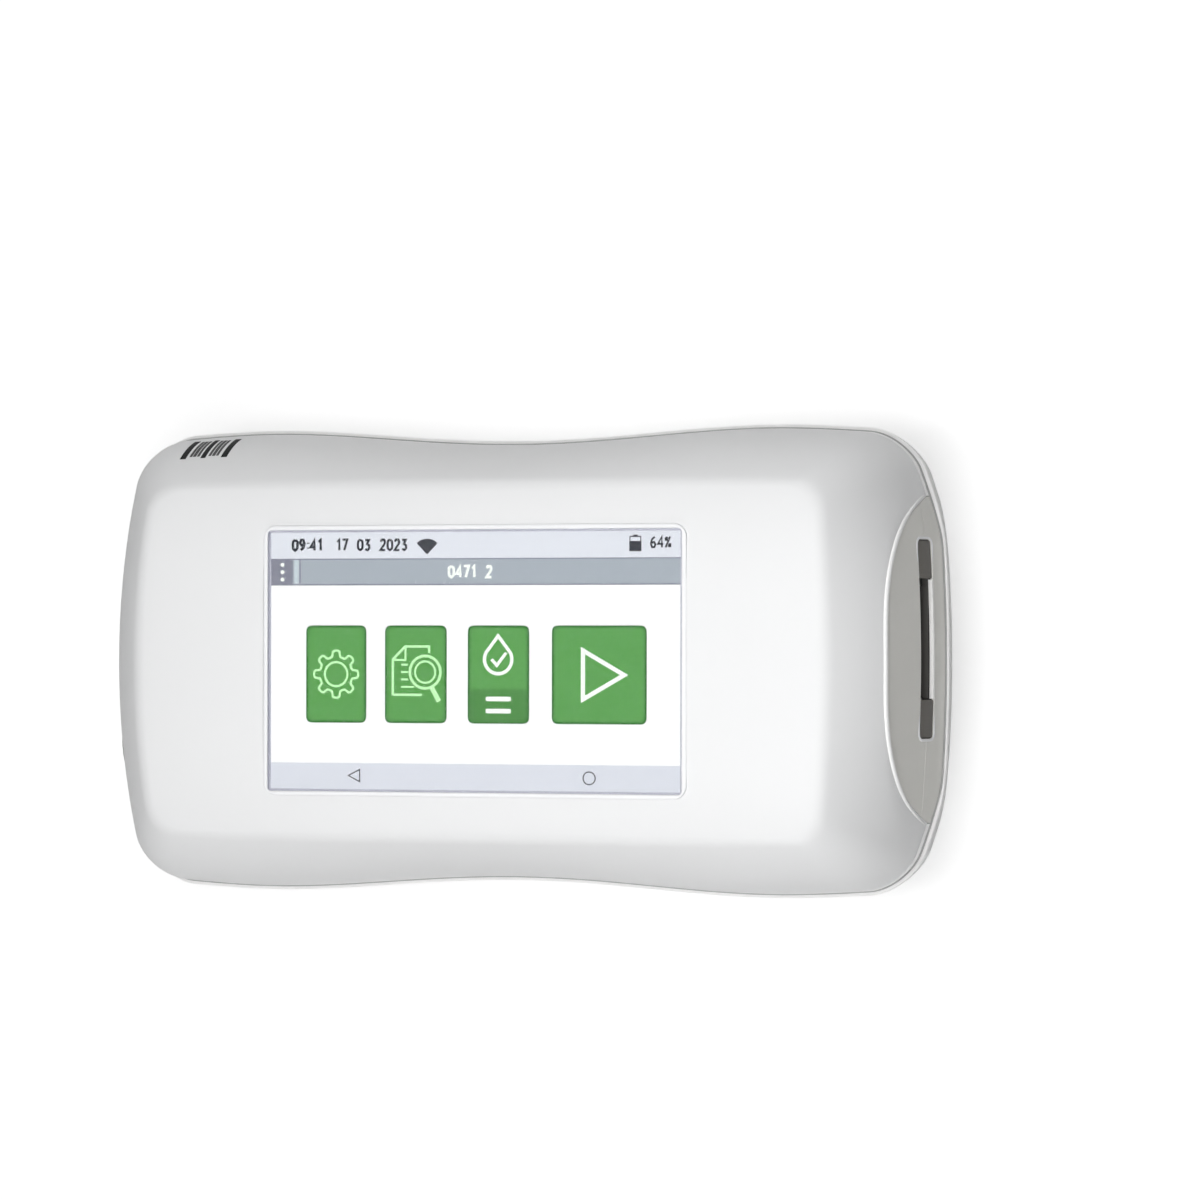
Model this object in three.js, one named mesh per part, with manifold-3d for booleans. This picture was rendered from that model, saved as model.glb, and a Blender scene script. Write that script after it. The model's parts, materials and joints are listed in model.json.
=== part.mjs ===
// Hand-held blood clotting analyser: a waisted two-shell body with a touch screen on top
// and a cuvette slot in one end.
// Millimetres, +Z up through the screen, +X towards the slot end. The origin is the middle of the footprint.
import * as THREE from 'three';
import { mergeVertices } from 'three/addons/utils/BufferGeometryUtils.js';
import Module from 'manifold-3d';

const wasm = await Module();
wasm.setup();

// Clearances
const gap = 0.3;
const seamGap = 0.8;
const overrun = 5;

// Picture area of the screen, and how far its ring stands below the top of the crown
const display = { width: 93.6, depth: 56.16, middleX: -1.5, sink: 0.15 };

// Body: outlines are half sizes about the origin, widest at the seam between the shells.
// Their widths follow the picture area with these margins
const margin = { seam: 23, plateau: 10.3, floor: 12.3 };
const halfAt = (wide) => display.depth / 2 + wide;
const body = {
  wall: 2.5, seamHeight: 23, topHeight: 57, footStand: 1.6, rimLip: 0.9, roof: 4,
  seam: {
    left: 94, right: 96.9, half: halfAt(margin.seam), corner: 8, leftBow: 6.5, rightBow: 11,
    waist: 3.5, taper: 2.2,
  },
  plateau: {
    left: 79.6, right: 76.6, half: halfAt(margin.plateau), corner: 6, leftBow: 3.2, rightBow: 1.8,
    waist: 0, taper: 0.6,
  },
  floor: {
    left: 83, right: 84, half: halfAt(margin.floor), corner: 11, leftBow: 3, rightBow: 3,
    waist: 2, taper: 1,
  },
  waistPlace: -2, waistReach: 66, crownSide: 1.9, crownEnd: 1.0,
};
const ceilingHeight = body.topHeight - body.roof;
const ringTop = body.topHeight - display.sink;
const shoulderStart = THREE.MathUtils.degToRad(44);
const bellyStart = THREE.MathUtils.degToRad(20);
const shoulderSteps = 8;
const bellySteps = 6;
const insideSteps = 4;
const sideSteps = 14;
const endSteps = 10;
const cornerSteps = 4;
const crownShares = [0.93, 0.8, 0.55];
const roundSteps = 16;

// End panel: a bowed face that leans back, let into the right end
const panel = { foot: 94.5, bow: 400, lean: 0.296, underLean: 0.2, thick: 2.6, rim: 0.8, sill: 1.2 };
const slot = { length: 41.3, height: 5.4, middleY: 4.2, middleHeight: 29.9, corner: 1.1 };
const insert = { length: 8.2, depth: 5.6, recess: 0.5 };
const ledge = { length: 24.2, depth: 1, thick: 0.65 };

// Display stack, from the ring on the face down to its frame
const ring = { border: 0.45, wide: 0.75, corner: 3 };
const glass = { thick: 1.1, recess: 0.35 };
const gasket = { wide: 4.6, thick: 0.8 };
const frame = { border: 5.2, thick: 2.8, corner: 2 };
const ribbon = { wide: 24, thick: 0.35, shift: 38 };

// Chassis and boards
const chassis = { margin: 2.4, thick: 2, corner: 4, legWide: 4, legX: 42 };
const board = {
  leftMargin: 0.4, rightMargin: 8.4, margin: 1, thick: 1.6, corner: 3,
  postRadius: 2.5, postX: 40, postMargin: 6,
};
const chassisHalf = body.plateau.half - chassis.margin;
const boardHalf = chassisHalf - board.margin;
const shield = { long: 32, wide: 27, high: 3, x: 12, y: 6 };
const radio = { long: 18, wide: 13, high: 2.4, x: 30, y: -22 };
const speaker = { radius: 8, high: 5, x: -14, y: -22 };

// Battery and its door in the underside
const battery = { long: 50, high: 16, middleX: -29, corner: 3 };
const door = { endLedge: 7, sideLedge: 3, thick: 2.1, collar: 3.5, collarWide: 4, corner: 3 };
const besideBattery = chassis.legWide + door.collarWide + door.sideLedge + gap * 3;
const batteryWide = 2 * (chassisHalf - besideBattery);
const plug = { long: 3, wide: 12, high: 6 };
const doorScrew = { headRadius: 2, headHigh: 1.2, shankRadius: 1, shankLong: 4 };

// Fasteners and feet
const caseScrew = {
  headRadius: 2.8, headHigh: 2, shankRadius: 1.4, shankLong: 26, bossRadius: 4, bury: 4,
  beyondScreen: 12.2, margin: 6.4,
};
const screwX = display.width / 2 + caseScrew.beyondScreen;
const chassisHalfLong = screwX - caseScrew.bossRadius - gap * 2;
const foot = { radius: 5.5, pocket: 0.9, bury: 0.6, x: 74, margin: 12.9 };

// Cuvette bay behind the slot
const bay = { left: 60, right: 78, half: 20, baseTop: 21.6 };
const lamp = { left: 63, right: 77, half: 14, thick: 1.6 };
const tray = { right: 88.1, half: 17.1, noseHalf: 12, noseThick: 0.5 };
const rail = { left: 64, right: 87.9, wide: 4, high: 4.5 };
const heater = { left: 63, right: 85.3, highShare: 0.24 };
const detector = { left: 65, right: 83, half: 14, thick: 1.6 };
const stop = { left: 58, right: 61.6, half: 7.5, shift: -4.3 };
const seal = { thick: 1.2, half: 5, high: 3 };
const lever = { thick: 1.3, wide: 3, shift: 8, drop: 7.5, rise: 4, pinRadius: 0.8, x: 60.3, hub: 1.9 };
const sensor = { long: 4, highShare: 0.8, reach: 1.2 };

// Air pump along X, beside the battery
const pump = { y: -20, axisHeight: 12.4, clear: 2.4, motorLong: 12, motorWide: 16 };
const screwRadius = 1.5;
const plunger = { radius: 4.5, bore: 1.9, clear: 5, long: 17, stroke: 6 };
const barrel = {
  radius: 6.6, clear: 5, spare: 1, cap: 2.6, nipple: 1.5, nippleLong: 3, port: 0.7, footHalf: 5,
};
const tube = { radius: 1.2, endHeight: 30 };

// Left end: side board, power button, data port and its flap
const side = { x: 78.6, thick: 1.6, margin: 11.4, top: 36 };
const button = {
  radius: 5.5, flange: 0.9, flangeThick: 1, flangeFace: 86.4, proud: 0.4, margin: 20.4, height: 31,
  travel: 0.9,
};
const buttonY = button.margin - body.floor.half;
const keySwitchWide = 6;
const port = { wide: 8.9, high: 3.2, y: 0, height: 12.5, face: 88.3 };
const flap = { wide: 14, low: 8.6, high: 16.6, thick: 1.4, corner: 1 };

// Code reader in the far side, near the left end
const reader = { long: 12, deep: 7.4, high: 10, x: -73, margin: 18.1, base: 9.2 };
const pane = { long: 10, high: 7, middleHeight: 14 };

// Dock contacts in the underside
const dock = { long: 16, wide: 8, high: 5, x: 36, y: 14 };
const contact = { long: 4, wide: 5, thick: 0.5, shift: 4 };

// Finishes
const finish = {
  white: [0xeceeef, 0.5, 0], lower: [0xdfe0df, 0.5, 0], panel: [0xdcdcda, 0.55, 0], dark: [0x5a5752, 0.6, 0],
  black: [0x1d1e20, 0.7, 0], ring: [0xd8dade, 0.35, 0], glass: [0xdfe3e8, 0.08, 0],
  metal: [0xb9bcc0, 0.35, 1], green: [0x2b5a3c, 0.6, 0], gold: [0xc9a24b, 0.3, 1],
  rubber: [0x3a3b3d, 0.85, 0], amber: [0xb8742c, 0.6, 0], alloy: [0xc4c6c8, 0.4, 1],
  blue: [0x39506e, 0.6, 0], clear: [0xd9dcde, 0.4, 0], mould: [0x8d9092, 0.6, 0],
};

const analyser = new THREE.Group();

// Solids and booleans
function solidOf(geometry) {
  const plain = geometry.clone();
  plain.deleteAttribute('normal');
  plain.deleteAttribute('uv');
  const merged = mergeVertices(plain);
  const triVerts = new Uint32Array(merged.index.array);
  const vertProperties = new Float32Array(merged.attributes.position.array);
  return new wasm.Manifold(new wasm.Mesh({ numProp: 3, vertProperties, triVerts }));
}

function geometryOf(solid) {
  const mesh = solid.getMesh();
  const geometry = new THREE.BufferGeometry();
  geometry.setAttribute('position', new THREE.BufferAttribute(new Float32Array(mesh.vertProperties), 3));
  geometry.setIndex(new THREE.BufferAttribute(new Uint32Array(mesh.triVerts), 1));
  geometry.computeVertexNormals();
  return geometry;
}

function asSolid(shape) {
  return shape.isBufferGeometry ? solidOf(shape) : shape;
}

function cut(first, ...others) {
  return others.reduce((rest, other) => rest.subtract(asSolid(other)), asSolid(first));
}

function join(first, ...others) {
  return others.reduce((whole, other) => whole.add(asSolid(other)), asSolid(first));
}

function common(first, ...others) {
  return others.reduce((rest, other) => rest.intersect(asSolid(other)), asSolid(first));
}

function addPiece(name, shape, [color, roughness, metalness], at = [0, 0, 0]) {
  const geometry = shape.isBufferGeometry ? shape : geometryOf(shape);
  const mesh = new THREE.Mesh(geometry, new THREE.MeshStandardMaterial({ color, roughness, metalness }));
  mesh.name = name;
  mesh.position.set(...at);
  analyser.add(mesh);
}

// Plain shapes placed by their limits or their middle
function block([x0, x1], [y0, y1], [z0, z1]) {
  const box = new THREE.BoxGeometry(x1 - x0, y1 - y0, z1 - z0);
  return box.translate((x0 + x1) / 2, (y0 + y1) / 2, (z0 + z1) / 2);
}

function about(middle, half) {
  return [middle - half, middle + half];
}

function roundedShape(long, wide, corner) {
  const shape = new THREE.Shape();
  const x = long / 2 - corner;
  const y = wide / 2 - corner;
  shape.absarc(x, y, corner, 0, Math.PI / 2);
  shape.absarc(-x, y, corner, Math.PI / 2, Math.PI);
  shape.absarc(-x, -y, corner, Math.PI, Math.PI * 1.5);
  shape.absarc(x, -y, corner, Math.PI * 1.5, Math.PI * 2);
  return shape;
}

function plate(long, wide, corner, [z0, z1]) {
  const shape = roundedShape(long, wide, corner);
  const settings = { depth: z1 - z0, bevelEnabled: false, curveSegments: cornerSteps };
  return new THREE.ExtrudeGeometry(shape, settings).translate(0, 0, z0);
}

function column(radius, [z0, z1], x = 0, y = 0) {
  const rod = new THREE.CylinderGeometry(radius, radius, z1 - z0, roundSteps);
  return rod.rotateX(Math.PI / 2).translate(x, y, (z0 + z1) / 2);
}

// A turned shape along X: the profile pairs a radius with a place along the axis
function turnedAlongX(profile) {
  const points = profile.map(([radius, place]) => new THREE.Vector2(radius, place));
  return new THREE.LatheGeometry(points, roundSteps).rotateZ(-Math.PI / 2);
}

function rodAlongX(radius, [x0, x1]) {
  return turnedAlongX([[0, x0], [radius, x0], [radius, x1], [0, x1]]);
}

// Body outlines: a rounded rectangle in even steps, then its ends are bowed and its sides waisted
function mixed(first, second, share) {
  const { lerp } = THREE.MathUtils;
  return Object.fromEntries(Object.keys(first).map((name) => [name, lerp(first[name], second[name], share)]));
}

function grown(outline, amount) {
  const { left, right, half, corner } = outline;
  const rounder = Math.max(corner + amount, gap);
  return { ...outline, left: left + amount, right: right + amount, half: half + amount, corner: rounder };
}

function baseOutline({ left, right, half, corner, leftBow, rightBow }) {
  const x0 = leftBow - left;
  const x1 = right - rightBow;
  const turns = [[x1, half, 1, 1], [x0, half, -1, 1], [x0, -half, -1, -1], [x1, -half, 1, -1]];
  const points = [];
  turns.forEach(([x, y, signX, signY], index) => {
    const middle = new THREE.Vector2(x - signX * corner, y - signY * corner);
    const from = (index * Math.PI) / 2;
    const spoke = (angle) => new THREE.Vector2(corner, 0).rotateAround(new THREE.Vector2(), angle);
    const arc = (step) => spoke(from + step).add(middle);
    for (let step = 0; step < cornerSteps; step += 1) points.push(arc((step / cornerSteps) * (Math.PI / 2)));
    const [nextX, nextY, nextSignX, nextSignY] = turns[(index + 1) % turns.length];
    const nextMiddle = new THREE.Vector2(nextX - nextSignX * corner, nextY - nextSignY * corner);
    const start = arc(Math.PI / 2);
    const end = spoke(from + Math.PI / 2).add(nextMiddle);
    const steps = index % 2 === 0 ? sideSteps : endSteps;
    for (let step = 0; step < steps; step += 1) points.push(start.clone().lerp(end, step / steps));
  });
  return points;
}

function bodyOutline(outline) {
  const { left, right, half, leftBow, rightBow, waist, taper } = outline;
  return baseOutline(outline).map(({ x, y }) => {
    const reach = x > 0 ? right - rightBow : left - leftBow;
    const bow = x > 0 ? rightBow : -leftBow;
    const bowed = x + bow * (x / reach) ** 2 * (1 - (y / half) ** 2);
    const away = THREE.MathUtils.clamp((x - body.waistPlace) / body.waistReach, -1, 1);
    const pulled = waist * Math.cos((away * Math.PI) / 2) ** 2 + taper * (x / reach) ** 4;
    return new THREE.Vector2(bowed, y * (1 - pulled / half));
  });
}

// A closed solid through rings of equal count, from the lowest ring up
function loft(rings, topCentreHeight) {
  const count = rings[0].length;
  const positions = rings.flat().flatMap(({ x, y, z }) => [x, y, z]);
  const bottomCentre = positions.length / 3;
  positions.push(0, 0, rings[0][0].z);
  positions.push(0, 0, topCentreHeight);
  const faces = [];
  for (let level = 0; level < rings.length - 1; level += 1) {
    for (let index = 0; index < count; index += 1) {
      const a = level * count + index;
      const b = level * count + ((index + 1) % count);
      faces.push(a, b, b + count, a, b + count, a + count);
    }
  }
  const lastRing = (rings.length - 1) * count;
  for (let index = 0; index < count; index += 1) {
    const next = (index + 1) % count;
    faces.push(bottomCentre, next, index, bottomCentre + 1, lastRing + index, lastRing + next);
  }
  const geometry = new THREE.BufferGeometry();
  geometry.setAttribute('position', new THREE.Float32BufferAttribute(positions, 3));
  geometry.setIndex(faces);
  return geometry;
}

// Rings down one rounded flank: from a narrow outline at its own height to the wide outline at the seam
function flankRings(narrow, wide, narrowHeight, wideHeight, startAngle, steps) {
  const narrowPoints = bodyOutline(narrow);
  const rings = [];
  for (let step = 0; step <= steps; step += 1) {
    const angle = THREE.MathUtils.lerp(Math.PI / 2, startAngle, step / steps);
    const outShare = (Math.sin(angle) - Math.sin(startAngle)) / (1 - Math.sin(startAngle));
    const downShare = (Math.cos(startAngle) - Math.cos(angle)) / Math.cos(startAngle);
    const points = bodyOutline(mixed(narrow, wide, outShare));
    rings.push(points.map(({ x, y }, index) => {
      const edge = narrowHeight(narrowPoints[index]);
      return new THREE.Vector3(x, y, THREE.MathUtils.lerp(edge, wideHeight, downShare));
    }));
  }
  return rings;
}

function crownHeight({ x, y }) {
  const { plateau, topHeight, crownSide, crownEnd } = body;
  const reach = x > 0 ? plateau.right : plateau.left;
  return topHeight - crownSide * (y / plateau.half) ** 4 - crownEnd * (x / reach) ** 4;
}

const upperFoot = body.seamHeight + seamGap / 2;
const lowerRim = body.seamHeight - seamGap / 2;

function upperBlank(inset) {
  const plateau = grown(body.plateau, -inset);
  const seam = grown(body.seam, -inset);
  const rings = flankRings(plateau, seam, crownHeight, upperFoot, shoulderStart, shoulderSteps);
  const edge = rings[rings.length - 1];
  for (const share of crownShares) {
    rings.push(edge.map(({ x, y }) => {
      const place = new THREE.Vector2(x * share, y * share);
      return new THREE.Vector3(place.x, place.y, crownHeight(place));
    }));
  }
  return solidOf(loft(rings, body.topHeight));
}

function upperHollow() {
  const { plateau, seam, wall } = body;
  const start = upperFoot - gap;
  const narrow = grown(plateau, -wall);
  const wide = grown(seam, -wall);
  const rings = flankRings(narrow, wide, () => ceilingHeight, upperFoot, shoulderStart, insideSteps);
  rings.unshift(rings[0].map(({ x, y }) => new THREE.Vector3(x, y, start)));
  return solidOf(loft(rings, ceilingHeight));
}

function lowerBlank(inset, base, steps) {
  const floor = grown(body.floor, -inset);
  const seam = grown(body.seam, body.rimLip - inset);
  const rings = flankRings(floor, seam, () => base, lowerRim, bellyStart, steps).reverse();
  const rim = rings[rings.length - 1];
  if (inset > 0) rings.push(rim.map(({ x, y }) => new THREE.Vector3(x, y, lowerRim + gap)));
  return solidOf(loft(rings, rings[rings.length - 1][0].z));
}

// Space beyond the bowed end face, moved out by an offset; lean 0 gives an upright face
function beyondEnd(offset, lean) {
  const { foot: place, bow } = panel;
  const half = body.seam.half + overrun;
  const low = -overrun;
  const high = body.topHeight + overrun;
  const shape = new THREE.Shape();
  const far = body.seam.right + half;
  shape.moveTo(far, -half);
  shape.lineTo(far, half);
  for (let step = 0; step <= endSteps * 2; step += 1) {
    const y = THREE.MathUtils.lerp(half, -half, step / (endSteps * 2));
    shape.lineTo(place + offset - y ** 2 / (2 * bow), y);
  }
  const solid = new THREE.ExtrudeGeometry(shape, { depth: high - low, bevelEnabled: false });
  solid.translate(0, 0, low);
  const shear = new THREE.Matrix4().makeShear(0, 0, 0, 0, -lean, 0);
  solid.translate(0, 0, -body.seamHeight).applyMatrix4(shear).translate(0, 0, body.seamHeight);
  return solid;
}

// Where the end face stands at a height and a place along Y
function endFace(y, height) {
  return panel.foot - y ** 2 / (2 * panel.bow) - panel.lean * (height - body.seamHeight);
}

const windowLong = display.width + 2 * (ring.border + ring.wide + gap);
const windowWide = display.depth + 2 * (ring.border + ring.wide + gap);
const slotLow = slot.middleHeight - slot.height / 2;
const slotHigh = slot.middleHeight + slot.height / 2;
const floorTop = body.footStand + body.wall;
const corners = [[1, 1], [-1, 1], [-1, -1], [1, -1]];

function screwPlaces() {
  const y = body.floor.half - caseScrew.margin;
  return corners.map(([signX, signY]) => [signX * screwX, signY * y]);
}

function panelPocket() {
  const inset = panel.rim;
  const low = upperFoot + panel.sill;
  const above = block([0, body.seam.right], about(0, body.seam.half), [low, body.topHeight]);
  return common(upperBlank(inset), beyondEnd(-panel.thick - gap, panel.lean), above);
}

function buttonBore() {
  const bore = rodAlongX(button.radius + gap, [-body.seam.left - overrun, -body.seam.left + overrun * 2]);
  return bore.translate(0, buttonY, button.height);
}

function upperShell() {
  const hollow = cut(upperHollow(), beyondEnd(-body.wall, panel.lean));
  const shell = cut(upperBlank(0), hollow, beyondEnd(0, panel.lean));
  const outside = upperBlank(body.wall / 2);
  const bossSpan = [upperFoot, body.topHeight];
  const bosses = screwPlaces().map(([x, y]) => common(column(caseScrew.bossRadius, bossSpan, x, y), outside));
  const bores = screwPlaces().map(([x, y]) => {
    const top = screwHead() + caseScrew.shankLong + gap;
    return column(caseScrew.shankRadius + gap, [0, top], x, y);
  });
  const through = [ceilingHeight - gap, body.topHeight + overrun];
  const opening = plate(windowLong, windowWide, ring.corner + gap, through);
  opening.translate(display.middleX, 0, 0);
  return cut(join(shell, ...bosses), panelPocket(), opening, buttonBore(), ...bores);
}

// Lower shell with its screw bosses, door collar and pockets
const doorLong = battery.long + 2 * (gap * 2 + door.endLedge);
const doorWide = batteryWide + 2 * (gap * 2 + door.sideLedge);
const doorTop = floorTop - gap;
const doorScrewX = battery.long / 2 + gap * 2 + door.endLedge / 2;
const holeLong = battery.long + gap * 4;
const holeWide = batteryWide + gap * 4;
const collarRight = battery.middleX + doorLong / 2 + door.collarWide;

function screwHead() {
  return body.footStand + caseScrew.bury;
}

function footPlaces() {
  const y = body.floor.half - foot.margin;
  return corners.map(([signX, signY]) => [signX * foot.x, signY * y]);
}

function doorCollar() {
  const long = doorLong + 2 * door.collarWide;
  const wide = doorWide + 2 * door.collarWide;
  const low = body.footStand + gap;
  return plate(long, wide, door.corner, [low, floorTop + door.collar]).translate(battery.middleX, 0, 0);
}

function lowerCuts() {
  const below = body.footStand - overrun;
  const pocket = plate(doorLong, doorWide, door.corner, [below, floorTop]).translate(battery.middleX, 0, 0);
  const hole = plate(holeLong, holeWide, battery.corner, [below, floorTop + door.collar + overrun]);
  hole.translate(battery.middleX, 0, 0);
  const cuts = [pocket, hole];
  for (const sign of [-1, 1]) {
    const x = battery.middleX + sign * doorScrewX;
    cuts.push(column(doorScrew.shankRadius + gap, [below, body.seamHeight], x, 0));
  }
  for (const [x, y] of screwPlaces()) {
    cuts.push(column(caseScrew.headRadius + gap, [below, screwHead()], x, y));
    cuts.push(column(caseScrew.shankRadius + gap, [below, body.topHeight], x, y));
  }
  for (const [x, y] of footPlaces()) {
    cuts.push(column(foot.radius + gap, [below, body.footStand + foot.pocket], x, y));
  }
  const dockLong = dock.long + 2 * gap;
  const dockWide = dock.wide + 2 * gap;
  cuts.push(plate(dockLong, dockWide, gap, [below, floorTop + overrun]).translate(dock.x, dock.y, 0));
  return cuts;
}

function portHole() {
  const reach = [-body.seam.left - overrun, -port.face + overrun];
  return block(reach, about(port.y, port.wide / 2 + gap), about(port.height, port.high / 2 + gap));
}

function flapPrism(grow) {
  const shape = roundedShape(flap.wide + 2 * grow, flap.high - flap.low + 2 * grow, flap.corner);
  const depth = body.seam.left / 2;
  const prism = new THREE.ExtrudeGeometry(shape, { depth, bevelEnabled: false, curveSegments: cornerSteps });
  prism.rotateX(Math.PI / 2).rotateZ(Math.PI / 2);
  return prism.translate(-body.seam.left - overrun, port.y, (flap.low + flap.high) / 2);
}

function paneCut(grow) {
  const half = pane.long / 2 + grow;
  const high = pane.high / 2 + grow;
  const reach = [body.floor.half / 2, body.seam.half + overrun];
  return block(about(reader.x, half), reach, about(pane.middleHeight, high));
}

function lowerOutside(inset, steps = bellySteps) {
  const blank = lowerBlank(inset, body.footStand + inset, steps);
  return cut(blank, beyondEnd(body.rimLip - inset, -panel.underLean));
}

function lowerShell() {
  const { wall } = body;
  const outside = lowerOutside(0);
  const shell = cut(outside, lowerOutside(wall, insideSteps));
  const bosses = screwPlaces().map(([x, y]) => {
    const boss = column(caseScrew.bossRadius, [body.footStand + gap, lowerRim], x, y);
    return common(boss, outside);
  });
  const flapPocket = cut(flapPrism(gap), lowerOutside(flap.thick + gap));
  const whole = join(shell, ...bosses, doorCollar());
  return cut(whole, ...lowerCuts(), flapPocket, portHole(), paneCut(0));
}

// Seal: a ring inside both walls with a thin lip that shows as a dark line between the shells
function shellSeal() {
  const slab = (inset, half) => {
    const points = bodyOutline(grown(body.seam, -inset));
    const [low, high] = about(body.seamHeight, half);
    const height = (z) => points.map(({ x, y }) => new THREE.Vector3(x, y, z));
    return cut(loft([height(low), height(high)], high), beyondEnd(-inset, 0));
  };
  const outer = body.wall + gap * 2;
  const inner = outer + gap * 4;
  const tall = body.wall / 2;
  const bosses = screwPlaces().map(([x, y]) => column(caseScrew.bossRadius + gap, [0, body.topHeight], x, y));
  const lip = slab(-gap, seamGap / 2 - gap);
  return cut(join(slab(outer, tall), lip), slab(inner, tall + gap), ...bosses);
}

// End panel with the slot, its two end inserts and the ledge between them
function slotPrism(grow) {
  const shape = roundedShape(slot.length + 2 * grow, slot.height + 2 * grow, slot.corner);
  const depth = body.seam.right / 2;
  const prism = new THREE.ExtrudeGeometry(shape, { depth, bevelEnabled: false, curveSegments: cornerSteps });
  prism.rotateX(Math.PI / 2).rotateZ(-Math.PI / 2);
  return prism.translate(body.seam.right + overrun, slot.middleY, slot.middleHeight);
}

function endPanel() {
  const inset = panel.rim + gap;
  const low = upperFoot + panel.sill + gap;
  const above = block([0, body.seam.right], about(0, body.seam.half), [low, body.topHeight]);
  const slab = common(upperBlank(inset), beyondEnd(-panel.thick, panel.lean), above);
  return cut(slab, beyondEnd(0, panel.lean), slotPrism(0));
}

function slotInsert(sign) {
  const outerEnd = slot.middleY + sign * (slot.length / 2 - gap / 2);
  const innerEnd = outerEnd - sign * insert.length;
  const reach = [Math.min(innerEnd, outerEnd), Math.max(innerEnd, outerEnd)];
  const filler = block([panel.foot - insert.depth, panel.foot], reach, [slotLow, slotHigh]);
  return cut(common(filler, slotPrism(-gap / 2)), beyondEnd(-insert.recess, panel.lean));
}

function cuvetteLedge() {
  const low = slotLow + gap;
  const face = endFace(slot.middleY, low);
  return block([face - ledge.depth, face], about(slot.middleY, ledge.length / 2), [low, low + ledge.thick]);
}

// Display stack
const glassTop = ringTop - glass.recess;
const lcdTop = glassTop - glass.thick - gap;
const gasketTop = ceilingHeight - gap;
const gasketLow = gasketTop - gasket.thick;
const frameTop = gasketLow - gap;
const frameLow = frameTop - frame.thick;

function displayPieces() {
  const inLong = display.width + 2 * ring.border;
  const inWide = display.depth + 2 * ring.border;
  const at = [display.middleX, 0, 0];
  const ringSpan = [ceilingHeight, ringTop];
  const ringOut = plate(inLong + 2 * ring.wide, inWide + 2 * ring.wide, ring.corner, ringSpan);
  const through = [frameLow, body.topHeight + overrun];
  const innerCorner = ring.corner - ring.wide;
  addPiece('screen_bezel', cut(ringOut, plate(inLong, inWide, innerCorner, through)), finish.ring, at);
  const glassLong = inLong - 2 * gap;
  const glassWide = inWide - 2 * gap;
  const glassCorner = innerCorner - gap;
  const glassSpan = [glassTop - glass.thick, glassTop];
  addPiece('touch_glass', plate(glassLong, glassWide, glassCorner, glassSpan), finish.glass, at);
  addPiece('lcd_panel', plate(glassLong, glassWide, glassCorner, [frameTop + gap, lcdTop]), finish.black, at);
  const gasketLong = inLong + 2 * gasket.wide;
  const gasketWide = inWide + 2 * gasket.wide;
  const gasketOut = plate(gasketLong, gasketWide, ring.corner, [gasketLow, gasketTop]);
  addPiece('display_gasket', cut(gasketOut, plate(inLong, inWide, innerCorner, through)), finish.black, at);
  const frameLong = inLong + 2 * frame.border;
  const frameWide = inWide + 2 * frame.border;
  addPiece('lcd_frame', plate(frameLong, frameWide, frame.corner, [frameLow, frameTop]), finish.alloy, at);
}

// Chassis over the battery, and the board that stands on its posts just below the display frame
const chassisLow = floorTop + gap + battery.high + body.wall + gap * 4;
const chassisTop = chassisLow + chassis.thick;
const boardTop = frameLow - gap * 2 - speaker.high;
const boardLow = boardTop - board.thick;

function chassisPiece() {
  const deck = plate(chassisHalfLong * 2, chassisHalf * 2, chassis.corner, [chassisLow, chassisTop]);
  const legs = corners.map(([signX, signY]) => {
    const x = about(signX * chassis.legX, chassis.legWide / 2);
    const y = about(signY * (chassisHalf - chassis.legWide / 2), chassis.legWide / 2);
    return block(x, y, [floorTop + gap, chassisLow + chassis.thick / 2]);
  });
  const posts = corners.map(([signX, signY]) => {
    const span = [chassisTop - chassis.thick / 2, boardLow - gap];
    return column(board.postRadius, span, signX * board.postX, signY * (boardHalf - board.postMargin));
  });
  return join(deck, ...legs, ...posts);
}

function boardPieces() {
  const long = chassisHalfLong * 2 - board.leftMargin - board.rightMargin;
  const boardX = (board.leftMargin - board.rightMargin) / 2;
  const sheet = plate(long, boardHalf * 2, board.corner, [boardLow, boardTop]);
  addPiece('main_board', sheet, finish.green, [boardX, 0, 0]);
  const low = boardTop + gap;
  const lidAt = ({ long: lidLong, wide, high, x, y }) => (
    block(about(x, lidLong / 2), about(y, wide / 2), [low, low + high])
  );
  addPiece('processor_shield', lidAt(shield), finish.metal);
  addPiece('wireless_module', lidAt(radio), finish.metal);
  addPiece('speaker', column(speaker.radius, [low, low + speaker.high], speaker.x, speaker.y), finish.black);
}

// A flat cable bent in a half ring from the display frame down to the board
function displayCable() {
  const high = frameLow - gap;
  const low = boardTop + gap;
  const radius = (high - low) / 2;
  const shape = new THREE.Shape();
  shape.absarc(0, 0, radius, Math.PI / 2, Math.PI * 1.5);
  shape.absarc(0, 0, radius - ribbon.thick, Math.PI * 1.5, Math.PI / 2, true);
  const curveSegments = roundSteps / 2;
  const strip = new THREE.ExtrudeGeometry(shape, { depth: ribbon.wide, bevelEnabled: false, curveSegments });
  strip.rotateX(Math.PI / 2);
  return strip.translate(-ribbon.shift, ribbon.wide / 2, (high + low) / 2);
}

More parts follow.
